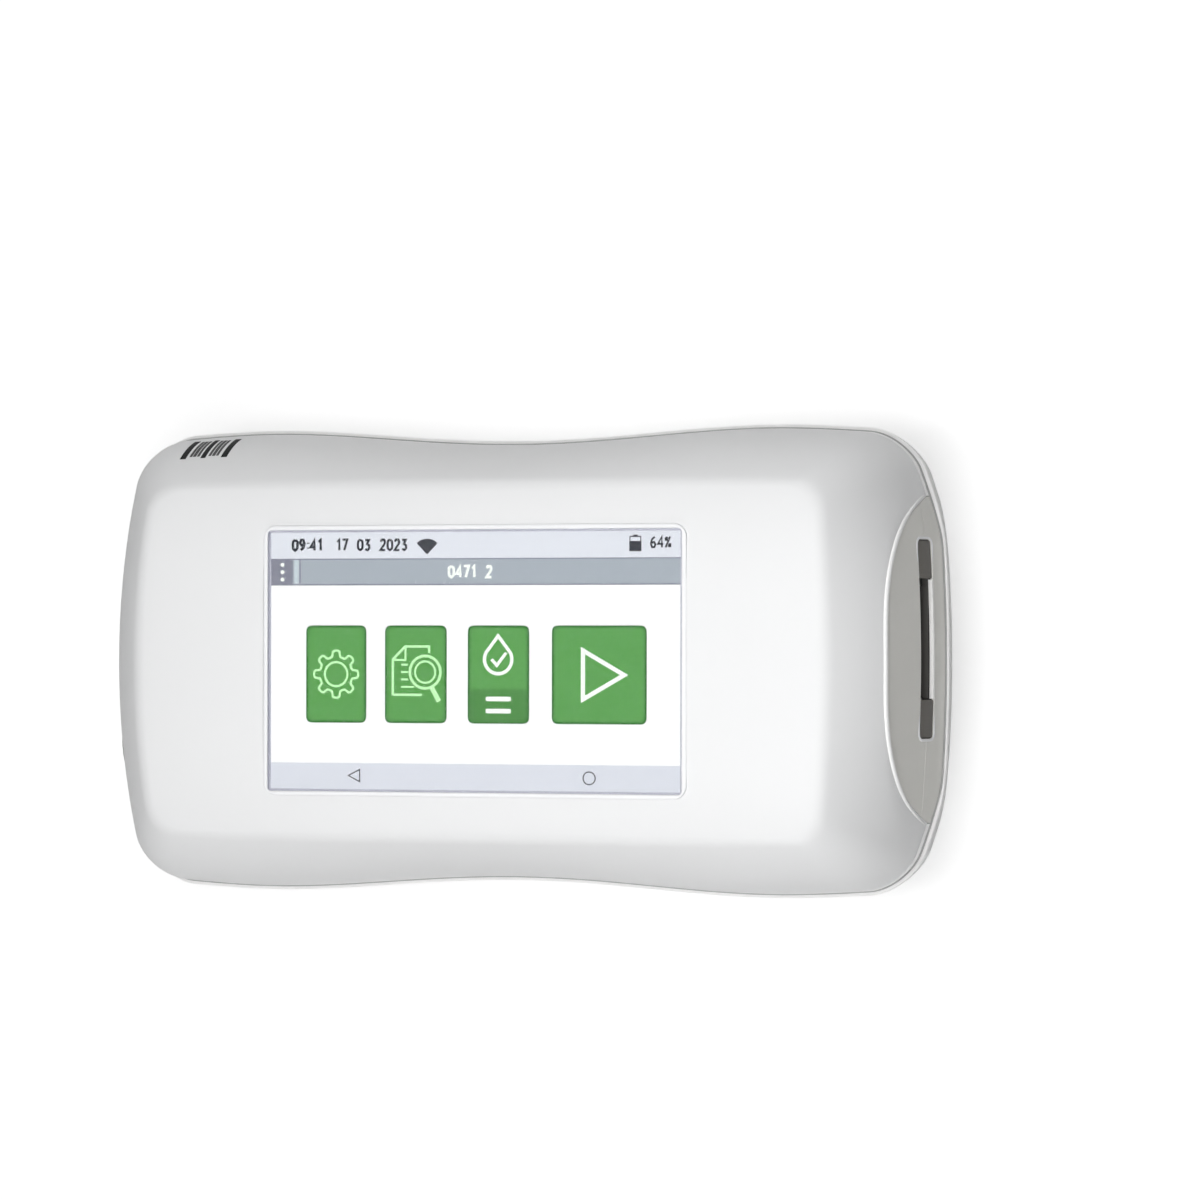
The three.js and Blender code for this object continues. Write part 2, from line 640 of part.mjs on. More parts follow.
// Battery, its plug, the door and the door screws
function batteryPieces() {
  const low = floorTop + gap;
  const at = [battery.middleX, 0, 0];
  const top = low + battery.high;
  addPiece('battery_pack', plate(battery.long, batteryWide, battery.corner, [low, top]), finish.blue, at);
  const face = battery.middleX + battery.long / 2 + gap;
  const plugLow = floorTop + door.collar + gap;
  const plugSpan = [plugLow, plugLow + plug.high];
  const housing = block([face, face + plug.long], about(0, plug.wide / 2), plugSpan);
  addPiece('battery_connector', housing, finish.clear);
  const doorLow = doorTop - door.thick;
  const leaf = plate(doorLong - 2 * gap, doorWide - 2 * gap, door.corner, [doorLow, doorTop]);
  const headLow = doorLow + gap;
  const headHigh = headLow + doorScrew.headHigh;
  const holes = [-1, 1].flatMap((sign) => [
    column(doorScrew.headRadius + gap, [0, headHigh + gap], sign * doorScrewX, 0),
    column(doorScrew.shankRadius + gap, [0, floorTop], sign * doorScrewX, 0),
  ]);
  addPiece('battery_door', cut(leaf, ...holes), finish.lower, at);
  [-1, 1].forEach((sign, index) => {
    const place = [battery.middleX + sign * doorScrewX, 0, 0];
    addPiece(`door_screw_${index + 1}`, turnedScrew(doorScrew, headLow), finish.metal, place);
  });
}

// A screw standing head down at a height, with a round recess in its head
function turnedScrew({ headRadius, headHigh, shankRadius, shankLong }, low) {
  const headTop = low + headHigh;
  const tip = headTop + shankLong;
  const recess = headHigh / 2;
  const points = [
    [0, low + recess], [headRadius / 2, low + recess], [headRadius / 2, low], [headRadius, low],
    [headRadius, headTop], [shankRadius, headTop], [shankRadius, tip - shankRadius], [0, tip],
  ];
  const profile = points.map(([radius, height]) => new THREE.Vector2(radius, height));
  return new THREE.LatheGeometry(profile, roundSteps / 2).rotateX(Math.PI / 2);
}

function caseScrews() {
  const low = screwHead() - gap - caseScrew.headHigh;
  screwPlaces().forEach(([x, y], index) => {
    addPiece(`case_screw_${index + 1}`, turnedScrew(caseScrew, low), finish.metal, [x, y, 0]);
  });
}

function rubberFeet() {
  const top = body.footStand + foot.pocket - gap;
  footPlaces().forEach(([x, y], index) => {
    const rise = foot.bury;
    const points = [[0, 0], [foot.radius - rise, 0], [foot.radius, rise], [foot.radius, top], [0, top]];
    const profile = points.map(([radius, height]) => new THREE.Vector2(radius, height));
    const pad = new THREE.LatheGeometry(profile, roundSteps).rotateX(Math.PI / 2);
    addPiece(`rubber_foot_${index + 1}`, pad, finish.rubber, [x, y, 0]);
  });
}

// Cuvette bay: base, lamp board, tray, rails, heater, detector board, stop and seal
const lampTop = bay.baseTop + gap + lamp.thick;
const trayLow = lampTop + gap;
const trayTop = slotLow + gap + tray.noseThick;
const railLow = trayTop + gap;
const heaterLow = railLow + rail.high + gap;
const heaterTop = heaterLow + (body.topHeight - heaterLow) * heater.highShare;
const trackHalf = ledge.length / 2;

function bayPieces() {
  const y = slot.middleY;
  const base = block([bay.left, bay.right], about(y, bay.half), [floorTop + gap, bay.baseTop]);
  addPiece('bay_base', base, finish.mould);
  const lampSpan = [bay.baseTop + gap, lampTop];
  addPiece('lamp_board', block([lamp.left, lamp.right], about(y, lamp.half), lampSpan), finish.green);
  const plateTray = block([bay.left, tray.right], about(y, tray.half), [trayLow, trayTop]);
  const noseTip = endFace(y, slotLow) - ledge.depth - gap;
  const noseSpan = [trayTop - tray.noseThick, trayTop];
  const nose = block([tray.right - overrun, noseTip], about(y, tray.noseHalf), noseSpan);
  addPiece('cuvette_tray', join(plateTray, nose), finish.dark);
  [-1, 1].forEach((sign, index) => {
    const inner = y + sign * (trackHalf + gap);
    const outer = inner + sign * rail.wide;
    const reach = [Math.min(inner, outer), Math.max(inner, outer)];
    const bar = block([rail.left, rail.right], reach, [railLow, railLow + rail.high]);
    addPiece(`guide_rail_${index + 1}`, bar, finish.dark);
  });
  const heaterHalf = trackHalf + rail.wide;
  const heaterBlock = block([heater.left, heater.right], about(y, heaterHalf), [heaterLow, heaterTop]);
  addPiece('heater_block', heaterBlock, finish.alloy);
  const boardSpan = [heaterTop + gap, heaterTop + gap + detector.thick];
  const detectorBoard = block([detector.left, detector.right], about(y, detector.half), boardSpan);
  addPiece('detector_board', detectorBoard, finish.green);
  const stopSpan = [railLow, railLow + rail.high];
  const stopBar = block([stop.left, stop.right], about(y + stop.shift, stop.half), stopSpan);
  addPiece('cuvette_stop', stopBar, finish.mould);
  const sealLeft = stop.right + gap;
  const sealSpan = about(railLow + rail.high / 2, seal.high / 2);
  const sealBox = block([sealLeft, sealLeft + seal.thick], about(y + stop.shift, seal.half), sealSpan);
  addPiece('pneumatic_seal', sealBox, finish.amber);
}

// Sensing lever: a hub on the pin of its switch, with a finger hanging behind the cuvette
const pinHeight = heaterLow + lever.rise;

function leverPieces() {
  const y = slot.middleY + lever.shift;
  const drum = (radius, wide) => {
    const round = new THREE.CylinderGeometry(radius, radius, wide, roundSteps);
    return round.translate(lever.x, y, pinHeight);
  };
  const hub = drum(lever.hub, lever.wide);
  const fingerSpan = [pinHeight - lever.drop, pinHeight];
  const finger = block(about(lever.x, lever.thick / 2), about(y, lever.wide / 2), fingerSpan);
  const bore = drum(lever.pinRadius + gap, lever.wide * 2);
  addPiece('cuvette_lever', cut(join(hub, finger), bore), finish.clear);
  const pinLong = lever.wide + gap * 2 + sensor.reach;
  const pinMiddle = y + pinLong / 2 - lever.wide / 2 - gap;
  const pin = new THREE.CylinderGeometry(lever.pinRadius, lever.pinRadius, pinLong, roundSteps);
  pin.translate(lever.x, pinMiddle, pinHeight);
  const near = y + lever.wide / 2 + gap;
  const halfHigh = (pinHeight - heaterLow) * sensor.highShare;
  const reach = [near, near + sensor.long];
  const housing = block(about(lever.x, sensor.long / 2), reach, about(pinHeight, halfHigh));
  addPiece('lever_switch', join(housing, pin), finish.black);
}

// Air pump: motor, screw, plunger and barrel in line, with the tube to the cuvette stop
function pumpPieces() {
  const { y, axisHeight } = pump;
  const at = [0, y, axisHeight];
  const half = pump.motorWide / 2;
  const motorLeft = collarRight + pump.clear;
  const motorRight = motorLeft + pump.motorLong;
  const motor = block([motorLeft, motorRight], about(0, half), [floorTop + gap - axisHeight, half]);
  addPiece('stepper_motor', motor, finish.metal, at);
  const screwLeft = motorRight + gap;
  const plungerLeft = motorRight + plunger.clear;
  const plungerEnd = plungerLeft + plunger.long;
  const screwTip = plungerEnd - barrel.cap - plunger.bore;
  addPiece('lead_screw', rodAlongX(screwRadius, [screwLeft, screwTip]), finish.metal, at);
  const boreEnd = screwTip + gap * 2;
  const cup = turnedAlongX([
    [plunger.bore, plungerLeft], [plunger.radius, plungerLeft], [plunger.radius, plungerEnd], [0, plungerEnd],
    [0, boreEnd], [plunger.bore, boreEnd], [plunger.bore, plungerLeft],
  ]);
  addPiece('pump_plunger', cup, finish.amber, at);
  const boreRadius = plunger.radius + gap;
  const boreLimit = plungerEnd + plunger.stroke + barrel.spare;
  const barrelLeft = plungerLeft + barrel.clear;
  const capEnd = boreLimit + barrel.cap;
  const nippleEnd = capEnd + barrel.nippleLong;
  const casting = join(
    rodAlongX(barrel.radius, [barrelLeft, capEnd]),
    rodAlongX(barrel.nipple, [capEnd - gap, nippleEnd]),
    block([barrelLeft, capEnd], about(0, barrel.footHalf), [floorTop + gap - axisHeight, 0]),
  );
  const hollow = rodAlongX(boreRadius, [barrelLeft - overrun, boreLimit]);
  const outlet = rodAlongX(barrel.port, [boreLimit - gap, nippleEnd + overrun]);
  addPiece('pump_barrel', cut(casting, hollow, outlet), finish.clear, at);
  addPiece('air_tube', airTube(nippleEnd + gap), finish.clear);
}

function airTube(start) {
  const { y, axisHeight } = pump;
  const stopSide = slot.middleY + stop.shift - stop.half - gap;
  const stopX = (stop.left + stop.right) / 2;
  const bend = tube.radius * 3;
  const turnX = start + bend;
  const points = [
    [start, y, axisHeight], [turnX - tube.radius, y, axisHeight + tube.radius / 2],
    [turnX, y, axisHeight + bend],
    [turnX, y, tube.endHeight - bend], [stopX + tube.radius, y + bend, tube.endHeight],
    [stopX, stopSide - bend, tube.endHeight], [stopX, stopSide, tube.endHeight],
  ];
  const route = new THREE.CatmullRomCurve3(points.map((point) => new THREE.Vector3(...point)));
  const section = new THREE.Shape().absarc(0, 0, tube.radius, 0, Math.PI * 2);
  const steps = roundSteps * 2;
  return new THREE.ExtrudeGeometry(section, { extrudePath: route, steps, curveSegments: cornerSteps - 1 });
}

// Left end: side board, button with its switch, port with its flap
function leftEndPieces() {
  const boardX = [-side.x, -side.x + side.thick];
  const sideHalf = body.floor.half - side.margin;
  addPiece('side_board', block(boardX, about(0, sideHalf), [floorTop + gap, side.top]), finish.green);
  const flangeFace = -button.flangeFace;
  const buttonBack = flangeFace + button.flangeThick;
  const stem = rodAlongX(button.radius, [-body.seam.left - overrun, buttonBack]);
  const head = common(stem.translate(0, buttonY, button.height), upperBlank(-button.proud));
  const flange = rodAlongX(button.radius + button.flange, [flangeFace, buttonBack]);
  addPiece('power_button', join(head, flange.translate(0, buttonY, button.height)), finish.dark);
  const stemFace = buttonBack + button.travel + gap;
  const half = keySwitchWide / 2;
  const key = block([stemFace, -side.x - gap], about(buttonY, half), about(button.height, half));
  addPiece('button_switch', key, finish.black);
  const shellX = [-port.face, -side.x - gap];
  const jack = block(shellX, about(port.y, port.wide / 2), about(port.height, port.high / 2));
  const tongueGap = port.high / 4;
  const mouthX = [-port.face - overrun, -port.face + port.high];
  const mouth = block(mouthX, about(port.y, port.wide / 2 - tongueGap), about(port.height, tongueGap));
  addPiece('data_port', cut(jack, mouth), finish.metal);
  const leaf = common(cut(lowerOutside(0), lowerOutside(flap.thick)), flapPrism(0));
  addPiece('port_flap', leaf, finish.rubber);
}

// Code reader behind a pane that follows the side wall
function readerPieces() {
  const high = [reader.base, reader.base + reader.high];
  const near = body.seam.half - reader.margin;
  const box = block(about(reader.x, reader.long / 2), [near, near + reader.deep], high);
  addPiece('code_reader', box, finish.black);
  const skin = cut(lowerOutside(0), lowerOutside(body.wall));
  addPiece('reader_window', common(skin, paneCut(-gap)), finish.black);
}

function dockPieces() {
  const low = body.footStand + gap;
  const shape = plate(dock.long, dock.wide, gap, [low, low + dock.high]);
  const padTop = low + contact.thick;
  const pockets = [-1, 1].map((sign) => {
    const x = about(sign * contact.shift, contact.long / 2 + gap);
    return block(x, about(0, contact.wide / 2 + gap), [0, padTop + gap]);
  });
  addPiece('dock_block', cut(shape, ...pockets), finish.black, [dock.x, dock.y, 0]);
  [-1, 1].forEach((sign, index) => {
    const x = about(dock.x + sign * contact.shift, contact.long / 2);
    const pad = block(x, about(dock.y, contact.wide / 2), [low, padTop]);
    addPiece(`dock_contact_${index + 1}`, pad, finish.gold);
  });
}

addPiece('upper_shell', upperShell(), finish.white);
addPiece('lower_shell', lowerShell(), finish.lower);
addPiece('shell_seal', shellSeal(), finish.black);
addPiece('end_panel', endPanel(), finish.panel);
addPiece('slot_insert_1', slotInsert(-1), finish.dark);
addPiece('slot_insert_2', slotInsert(1), finish.dark);
addPiece('cuvette_ledge', cuvetteLedge(), finish.white);
displayPieces();
addPiece('chassis', chassisPiece(), finish.mould);
boardPieces();
addPiece('display_cable', displayCable(), finish.amber);
batteryPieces();
caseScrews();
rubberFeet();
bayPieces();
leverPieces();
pumpPieces();
leftEndPieces();
readerPieces();
dockPieces();

export default analyser;
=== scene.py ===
import json
import bpy
import bmesh
import numpy as np
from numpy.linalg import norm
from math import copysign, cos, pi, radians, sin
from mathutils import Matrix, Vector

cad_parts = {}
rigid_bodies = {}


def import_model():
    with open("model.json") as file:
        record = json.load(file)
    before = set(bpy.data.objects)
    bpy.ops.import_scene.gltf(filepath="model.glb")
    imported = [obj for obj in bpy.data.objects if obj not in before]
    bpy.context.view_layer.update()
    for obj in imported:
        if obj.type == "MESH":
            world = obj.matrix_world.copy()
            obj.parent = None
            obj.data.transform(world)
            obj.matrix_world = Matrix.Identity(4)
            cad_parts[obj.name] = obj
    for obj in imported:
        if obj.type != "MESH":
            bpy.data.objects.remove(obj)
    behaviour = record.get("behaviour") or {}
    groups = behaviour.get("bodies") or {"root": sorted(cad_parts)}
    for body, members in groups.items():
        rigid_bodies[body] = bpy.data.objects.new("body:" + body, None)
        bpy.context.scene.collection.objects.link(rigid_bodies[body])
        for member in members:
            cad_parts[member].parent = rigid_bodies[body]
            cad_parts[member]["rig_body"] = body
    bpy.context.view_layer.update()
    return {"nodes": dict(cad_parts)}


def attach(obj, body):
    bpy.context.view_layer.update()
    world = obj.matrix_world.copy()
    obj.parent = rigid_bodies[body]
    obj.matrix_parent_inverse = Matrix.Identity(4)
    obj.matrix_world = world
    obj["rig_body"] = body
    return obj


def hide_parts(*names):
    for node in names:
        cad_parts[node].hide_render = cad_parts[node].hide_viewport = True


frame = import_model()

MM = 0.001
scene = bpy.context.scene
nodes = frame["nodes"]
scene.view_settings.view_transform = "Standard"


def placed(name, data):
    obj = bpy.data.objects.new(name, data)
    scene.collection.objects.link(obj)
    return obj


# Camera: the photograph's view, from above and from the slot end. Millimetres and degrees.
CAMERA_PLACE = (351.326, 3.756, 1069.32)
CAMERA_TILT, CAMERA_TURN, CAMERA_ROLL = 17.743, -0.5, 0.078
CAMERA_SENSOR, CAMERA_LENS = 36, 150


def make_camera():
    tilt, turn, roll = (radians(angle) for angle in (CAMERA_TILT, CAMERA_TURN, CAMERA_ROLL))
    back = Vector((sin(tilt) * cos(turn), sin(turn), cos(tilt) * cos(turn)))
    right = Vector((0, 1, 0)).cross(back).normalized()
    up = back.cross(right)
    right_rolled = right * cos(roll) + up * sin(roll)
    up_rolled = up * cos(roll) - right * sin(roll)
    data = bpy.data.cameras.new("camera")
    data.sensor_width = CAMERA_SENSOR
    data.lens = CAMERA_LENS
    data.clip_start = 0.02
    data.clip_end = 50
    camera = placed("camera", data)
    facing = Matrix((right_rolled, up_rolled, back)).transposed().to_4x4()
    camera.matrix_world = Matrix.Translation(Vector(CAMERA_PLACE) * MM) @ facing
    scene.camera = camera


make_camera()

# Measures of the body, the same as the solids have, in millimetres
SEAM = dict(left=94, right=96.9, half=51.08, corner=8, left_bow=6.5, right_bow=11, waist=3.5, taper=2.2)
PLATEAU = dict(left=79.6, right=76.6, half=38.38, corner=6, left_bow=3.2, right_bow=1.8, waist=0, taper=0.6)
FLOOR = dict(left=83, right=84, half=40.38, corner=11, left_bow=3, right_bow=3, waist=2, taper=1)
WAIST_PLACE, WAIST_REACH = -2, 66
TOP, UPPER_FOOT, LOWER_RIM, FLOOR_HEIGHT, RIM_LIP = 56.97, 23.4, 22.6, 1.6, 0.9
CROWN_SIDE, CROWN_END = 1.9, 1.0
SHOULDER_START, BELLY_START = radians(44), radians(20)
FACE_FOOT, FACE_BOW, FACE_LEAN, UNDER_LEAN, SEAM_HEIGHT = 94.5, 400, 0.296, 0.2, 23
SCREEN_X, SCREEN_LONG, SCREEN_WIDE = -1.5, 93.6, 56.16
BUTTON_AT = (0, -19.98, 31)
PORT_HEIGHT = 12.6
DOOR_X, DOOR_LONG, DOOR_WIDE = -29, 65.2, 55.36
DOOR_SCREWS = (DOOR_X - 29.1, DOOR_X + 29.1)
CORNERS = [(1, 1), (-1, 1), (-1, -1), (1, -1)]
CASE_SCREWS = [(sx * 59, sy * 33.98, 0) for sx, sy in CORNERS]
FEET = [(sx * 74, sy * 27.48, 0) for sx, sy in CORNERS]


# Mesh helpers. A tool is a piece that a cut uses up, so its name and finish don't matter.
def new_piece(name, points, faces, look=None, body=None, sharp=35):
    mesh = bpy.data.meshes.new(name)
    mesh.from_pydata([tuple(p) for p in (np.asarray(points, float) * MM)], [], faces)
    mesh.validate()
    obj = placed(name, mesh)
    finish_mesh(obj, sharp)
    mesh.materials.append(look or white_plastic)
    if body:
        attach(obj, body)
    return obj


def finish_mesh(obj, sharp=35):
    """Outward normals, smooth faces and sharp edges above an angle in degrees."""
    mesh = obj.data
    work = bmesh.new()
    work.from_mesh(mesh)
    bmesh.ops.recalc_face_normals(work, faces=work.faces)
    work.to_mesh(mesh)
    work.free()
    mesh.polygons.foreach_set("use_smooth", [True] * len(mesh.polygons))
    mesh.set_sharp_from_angle(angle=radians(sharp))
    mesh.update()


def settle(obj, sharp=35):
    """Applies the object's modifiers to its mesh."""
    bpy.context.view_layer.update()
    evaluated = obj.evaluated_get(bpy.context.evaluated_depsgraph_get())
    result = bpy.data.meshes.new_from_object(evaluated)
    obj.modifiers.clear()
    obj.data = result
    finish_mesh(obj, sharp)


def cut(obj, tools, operation="DIFFERENCE", sharp=40):
    for tool in tools:
        step = obj.modifiers.new("cut", "BOOLEAN")
        step.operation = operation
        step.solver = "EXACT"
        step.object = tool
        settle(obj, sharp)
        bpy.data.objects.remove(tool)


def bevel(obj, width, segments=2, angle=50):
    step = obj.modifiers.new("bevel", "BEVEL")
    step.width = width * MM
    step.segments = segments
    step.limit_method = "ANGLE"
    step.angle_limit = radians(angle)
    step.harden_normals = False
    settle(obj)


def joined(name, parts, sharp=35):
    """One piece from several that share a body. Its finish is that of the first."""
    work = bmesh.new()
    for part in parts:
        work.from_mesh(part.data)
    mesh = bpy.data.meshes.new(name)
    work.to_mesh(mesh)
    work.free()
    obj = placed(name, mesh)
    mesh.materials.append(parts[0].data.materials[0])
    body = parts[0].get("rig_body")
    for part in parts:
        bpy.data.objects.remove(part)
    finish_mesh(obj, sharp)
    if body:
        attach(obj, body)
    return obj


def ring_faces(rings, count, closed=False):
    """Faces between rings of equal count, and from the last ring to the first where closed."""
    faces = []
    for level in range(rings if closed else rings - 1):
        low, high = level * count, (level + 1) % rings * count
        for i in range(count):
            j = (i + 1) % count
            faces.append((low + i, low + j, high + j, high + i))
    return faces


def lofted(name, rings, look=None, body=None, sharp=35):
    """A closed solid through rings of equal count."""
    count = len(rings[0])
    points = [p for ring in rings for p in ring]
    faces = ring_faces(len(rings), count)
    faces.append(tuple(range(count))[::-1])
    faces.append(tuple(range(len(points) - count, len(points))))
    return new_piece(name, points, faces, look, body, sharp)


def looped(name, rings, look):
    """A closed band on the housing: the last ring joins the first."""
    points = [p for ring in rings for p in ring]
    return new_piece(name, points, ring_faces(len(rings), len(rings[0]), True), look, "housing")


def turned(name, profile, at, look=None, steps=48, axis="z"):
    """A turned piece: pairs of radius and height along the axis, closed at both ends."""
    rings = []
    for radius, height in profile:
        ring = []
        for i in range(steps):
            a = 2 * pi * i / steps
            u, v = radius * cos(a), radius * sin(a)
            offset = (u, v, height) if axis == "z" else (height, u, v)
            ring.append([start + move for start, move in zip(at, offset)])
        rings.append(ring)
    return lofted(name, rings, look)


def rod(radius, start, end, at, steps, axis="z", look=None):
    return turned("tool", [(radius, start), (radius, end)], at, look, steps, axis)


def rounded(long, wide, corner, at=(0, 0), steps=8):
    points = []
    for sx, sy, start in ((1, 1, 0), (-1, 1, 90), (-1, -1, 180), (1, -1, 270)):
        for i in range(steps + 1):
            a = radians(start + 90 * i / steps)
            points.append((sx * (long / 2 - corner) + corner * cos(a) + at[0],
                           sy * (wide / 2 - corner) + corner * sin(a) + at[1]))
    return points


def prism(outline, heights, name="tool", look=None):
    return lofted(name, [[(x, y, z) for x, y in outline] for z in heights], look)


def prism_x(outline, reaches, name="tool", look=None):
    return lofted(name, [[(x, y, z) for y, z in outline] for x in reaches], look)


def plate(long, wide, corner, heights, at, steps=8, name="tool", look=None):
    return prism(rounded(long, wide, corner, at, steps), heights, name, look)


def box(x, y, z):
    return prism([(x[0], y[0]), (x[1], y[0]), (x[1], y[1]), (x[0], y[1])], z)


# Materials: each is a node tree with fine grain, slow tone drift and its own roughness
def set_inputs(tree, node, inputs):
    """Gives each input its value, or a link where an output is given."""
    for key, given in inputs.items():
        if isinstance(given, bpy.types.NodeSocket):
            tree.links.new(given, node.inputs[key])
        else:
            node.inputs[key].default_value = given


def add_node(tree, kind, inputs, **settings):
    node = tree.nodes.new("ShaderNode" + kind)
    for key, value in settings.items():
        setattr(node, key, value)
    set_inputs(tree, node, inputs)
    return node


SLOW_SCALE, RELIEF_DEPTH, SPREAD = 26, 0.0002, 0.06
WEAR_FROM, WEAR_TO, WEAR_GAIN, WEAR_LIFT = 0.52, 0.62, 1.4, 0.06


def look_of(name, colour, roughness, grain, bump, drift, metal=0.0, coat=0.0, glow=0.0, transmission=0.0,
            worn=0.0, specular=0.5, streaks=False, ior=1.5):
    look = bpy.data.materials.new(name)
    look.use_nodes = True
    tree = look.node_tree

    def shade(gain, lift=0.0):
        return [min(1, c * gain + lift) for c in colour[:3]] + [1]

    place = add_node(tree, "TexCoord", {}).outputs["Object"]
    slow = add_node(tree, "TexNoise", {"Vector": place, "Scale": SLOW_SCALE, "Detail": 3})
    if streaks:
        place = add_node(tree, "Mapping", {"Vector": place, "Scale": (0.06, 1, 1)}).outputs["Vector"]
    fine = add_node(tree, "TexNoise", {"Vector": place, "Scale": grain, "Detail": 4}).outputs["Fac"]
    tones = {"Factor": slow.outputs["Fac"], "A": shade(1 - drift), "B": shade(1 + drift)}
    last = add_node(tree, "Mix", tones, data_type="RGBA").outputs["Result"]
    if worn:
        shape = add_node(tree, "NewGeometry", {}).outputs["Pointiness"]
        edge = {"Value": shape, "From Min": WEAR_FROM, "From Max": WEAR_TO, "To Max": worn}
        amount = add_node(tree, "MapRange", edge).outputs["Result"]
        tones = {"Factor": amount, "A": last, "B": shade(WEAR_GAIN, WEAR_LIFT)}
        last = add_node(tree, "Mix", tones, data_type="RGBA").outputs["Result"]
    low, high = max(0.02, roughness - SPREAD), min(1, roughness + SPREAD)
    spread = add_node(tree, "MapRange", {"Value": fine, "To Min": low, "To Max": high})
    relief = add_node(tree, "Bump", {"Height": fine, "Strength": bump, "Distance": RELIEF_DEPTH})
    inputs = {"Metallic": metal, "Coat Weight": coat, "Transmission Weight": transmission,
              "Specular IOR Level": specular, "IOR": ior, "Base Color": last,
              "Roughness": spread.outputs["Result"], "Normal": relief.outputs["Normal"]}
    if glow:
        inputs.update({"Emission Strength": glow, "Emission Color": last})
    set_inputs(tree, tree.nodes["Principled BSDF"], inputs)
    return look


def srgb(*levels):
    """Linear colour from 0 to 255 display values."""
    shares = [level / 255 for level in levels]
    return tuple(c / 12.92 if c <= 0.04045 else ((c + 0.055) / 1.055) ** 2.4 for c in shares)


# Colour, roughness, scale of the grain, relief and tone drift of each
white_plastic = look_of("white_plastic", (0.86, 0.865, 0.87), 0.46, 1100, 0.05, 0.012)
lower_plastic = look_of("lower_plastic", (0.86, 0.86, 0.855), 0.5, 1100, 0.06, 0.015)
# A warm grey darker than the shell's white, for the end panel: painted shade of the end face.
panel_shaded_grey = look_of("panel_shaded_grey", (0.785, 0.778, 0.74), 0.52, 900, 0.09, 0.02)
ledge_white = look_of("ledge_white", (0.95, 0.945, 0.93), 0.5, 900, 0.05, 0.015)
# A whiter white than the shell, for the lips at the seam and the bead on the arch: a painted highlight.
edge_highlight_white = look_of("edge_highlight_white", (0.95, 0.95, 0.945), 0.4, 1100, 0.03, 0.01)
bezel_plastic = look_of("bezel_plastic", (0.88, 0.885, 0.9), 0.32, 700, 0.02, 0.01)
# Bluish grey of the line round the page: a painted shadow at the inner edge of the screen rim.
rim_gap_shadow_grey = look_of("rim_gap_shadow_grey", srgb(158, 159, 172), 0.5, 900, 0.03, 0.02)
slot_grey = look_of("slot_grey", srgb(99, 96, 91), 0.6, 1400, 0.14, 0.05, worn=0.25)
dark_plastic = look_of("dark_plastic", srgb(58, 56, 53), 0.6, 1400, 0.12, 0.05, worn=0.25)
black_plastic = look_of("black_plastic", (0.022, 0.022, 0.024), 0.5, 1200, 0.1, 0.08, worn=0.1)
seal_rubber = look_of("seal_rubber", (0.46, 0.46, 0.455), 0.75, 1500, 0.12, 0.08)
black_rubber = look_of("black_rubber", (0.035, 0.035, 0.037), 0.82, 1500, 0.3, 0.12, worn=0.15)
steel = look_of("steel", (0.55, 0.56, 0.57), 0.3, 1400, 0.05, 0.05, metal=1, worn=0.3)
alloy = look_of("alloy", (0.77, 0.78, 0.79), 0.36, 900, 0.08, 0.04, metal=1, streaks=True)
board_green = look_of("board_green", (0.02, 0.1, 0.045), 0.38, 420, 0.12, 0.2, coat=0.3)
amber_film = look_of("amber_film", (0.48, 0.17, 0.03), 0.28, 500, 0.05, 0.08, coat=0.4)
battery_wrap = look_of("battery_wrap", (0.04, 0.08, 0.16), 0.26, 180, 0.14, 0.1, coat=0.3)
clear_resin = look_of("clear_resin", (0.7, 0.72, 0.73), 0.25, 800, 0.04, 0.04)
silicone = look_of("silicone", (0.45, 0.2, 0.05), 0.5, 700, 0.08, 0.07)
mould_grey = look_of("mould_grey", (0.27, 0.28, 0.29), 0.55, 1000, 0.12, 0.06, worn=0.15)
gold = look_of("gold", (0.68, 0.45, 0.12), 0.24, 1200, 0.04, 0.06, metal=1, worn=0.2)
reader_pane = look_of("reader_pane", (0.03, 0.005, 0.006), 0.1, 600, 0.01, 0.1, coat=0.6)
ink_black = look_of("ink_black", (0.01, 0.01, 0.01), 0.6, 1600, 0.05, 0.15, specular=0.12)
ink_grey = look_of("ink_grey", (0.09, 0.09, 0.09), 0.6, 1600, 0.05, 0.15, specular=0.15)
cover_glass = look_of("cover_glass", (1, 1, 1), 0.03, 300, 0.002, 0.0, transmission=1.0, ior=1.09)

PAGE_BASE, PAGE_GLOW = 0.15, 0.78


def lit(name, *levels):
    """A lit part of the display page: most of its colour is its own light."""
    plain = [c * PAGE_BASE for c in srgb(*levels)]
    glow = PAGE_GLOW / PAGE_BASE
    return look_of(name, plain, 0.6, 2600, 0.01, 0.008, glow=glow, specular=0.1)


# Body outlines
SIDE_STEPS, END_STEPS, TURN_STEPS = 56, 70, 14


def base_outline(spec):
    """A rectangle with round corners, before the ends bow out and the sides draw in."""
    ends = {1: spec["right"] - spec["right_bow"], -1: spec["left_bow"] - spec["left"]}
    corner = spec["corner"]
    centres = [np.array((ends[sx] - sx * corner, sy * (spec["half"] - corner))) for sx, sy in CORNERS]
    points = []
    for index, steps in enumerate((SIDE_STEPS, END_STEPS // 2, SIDE_STEPS, END_STEPS)):
        for step in range(TURN_STEPS + 1):
            a = (index + step / TURN_STEPS) * pi / 2
            points.append(centres[index] + corner * np.array((cos(a), sin(a))))
        first, way = points[-1], centres[(index + 1) % 4] - centres[index]
        points += [first + way * step / steps for step in range(1, steps)]
    return np.array(points)


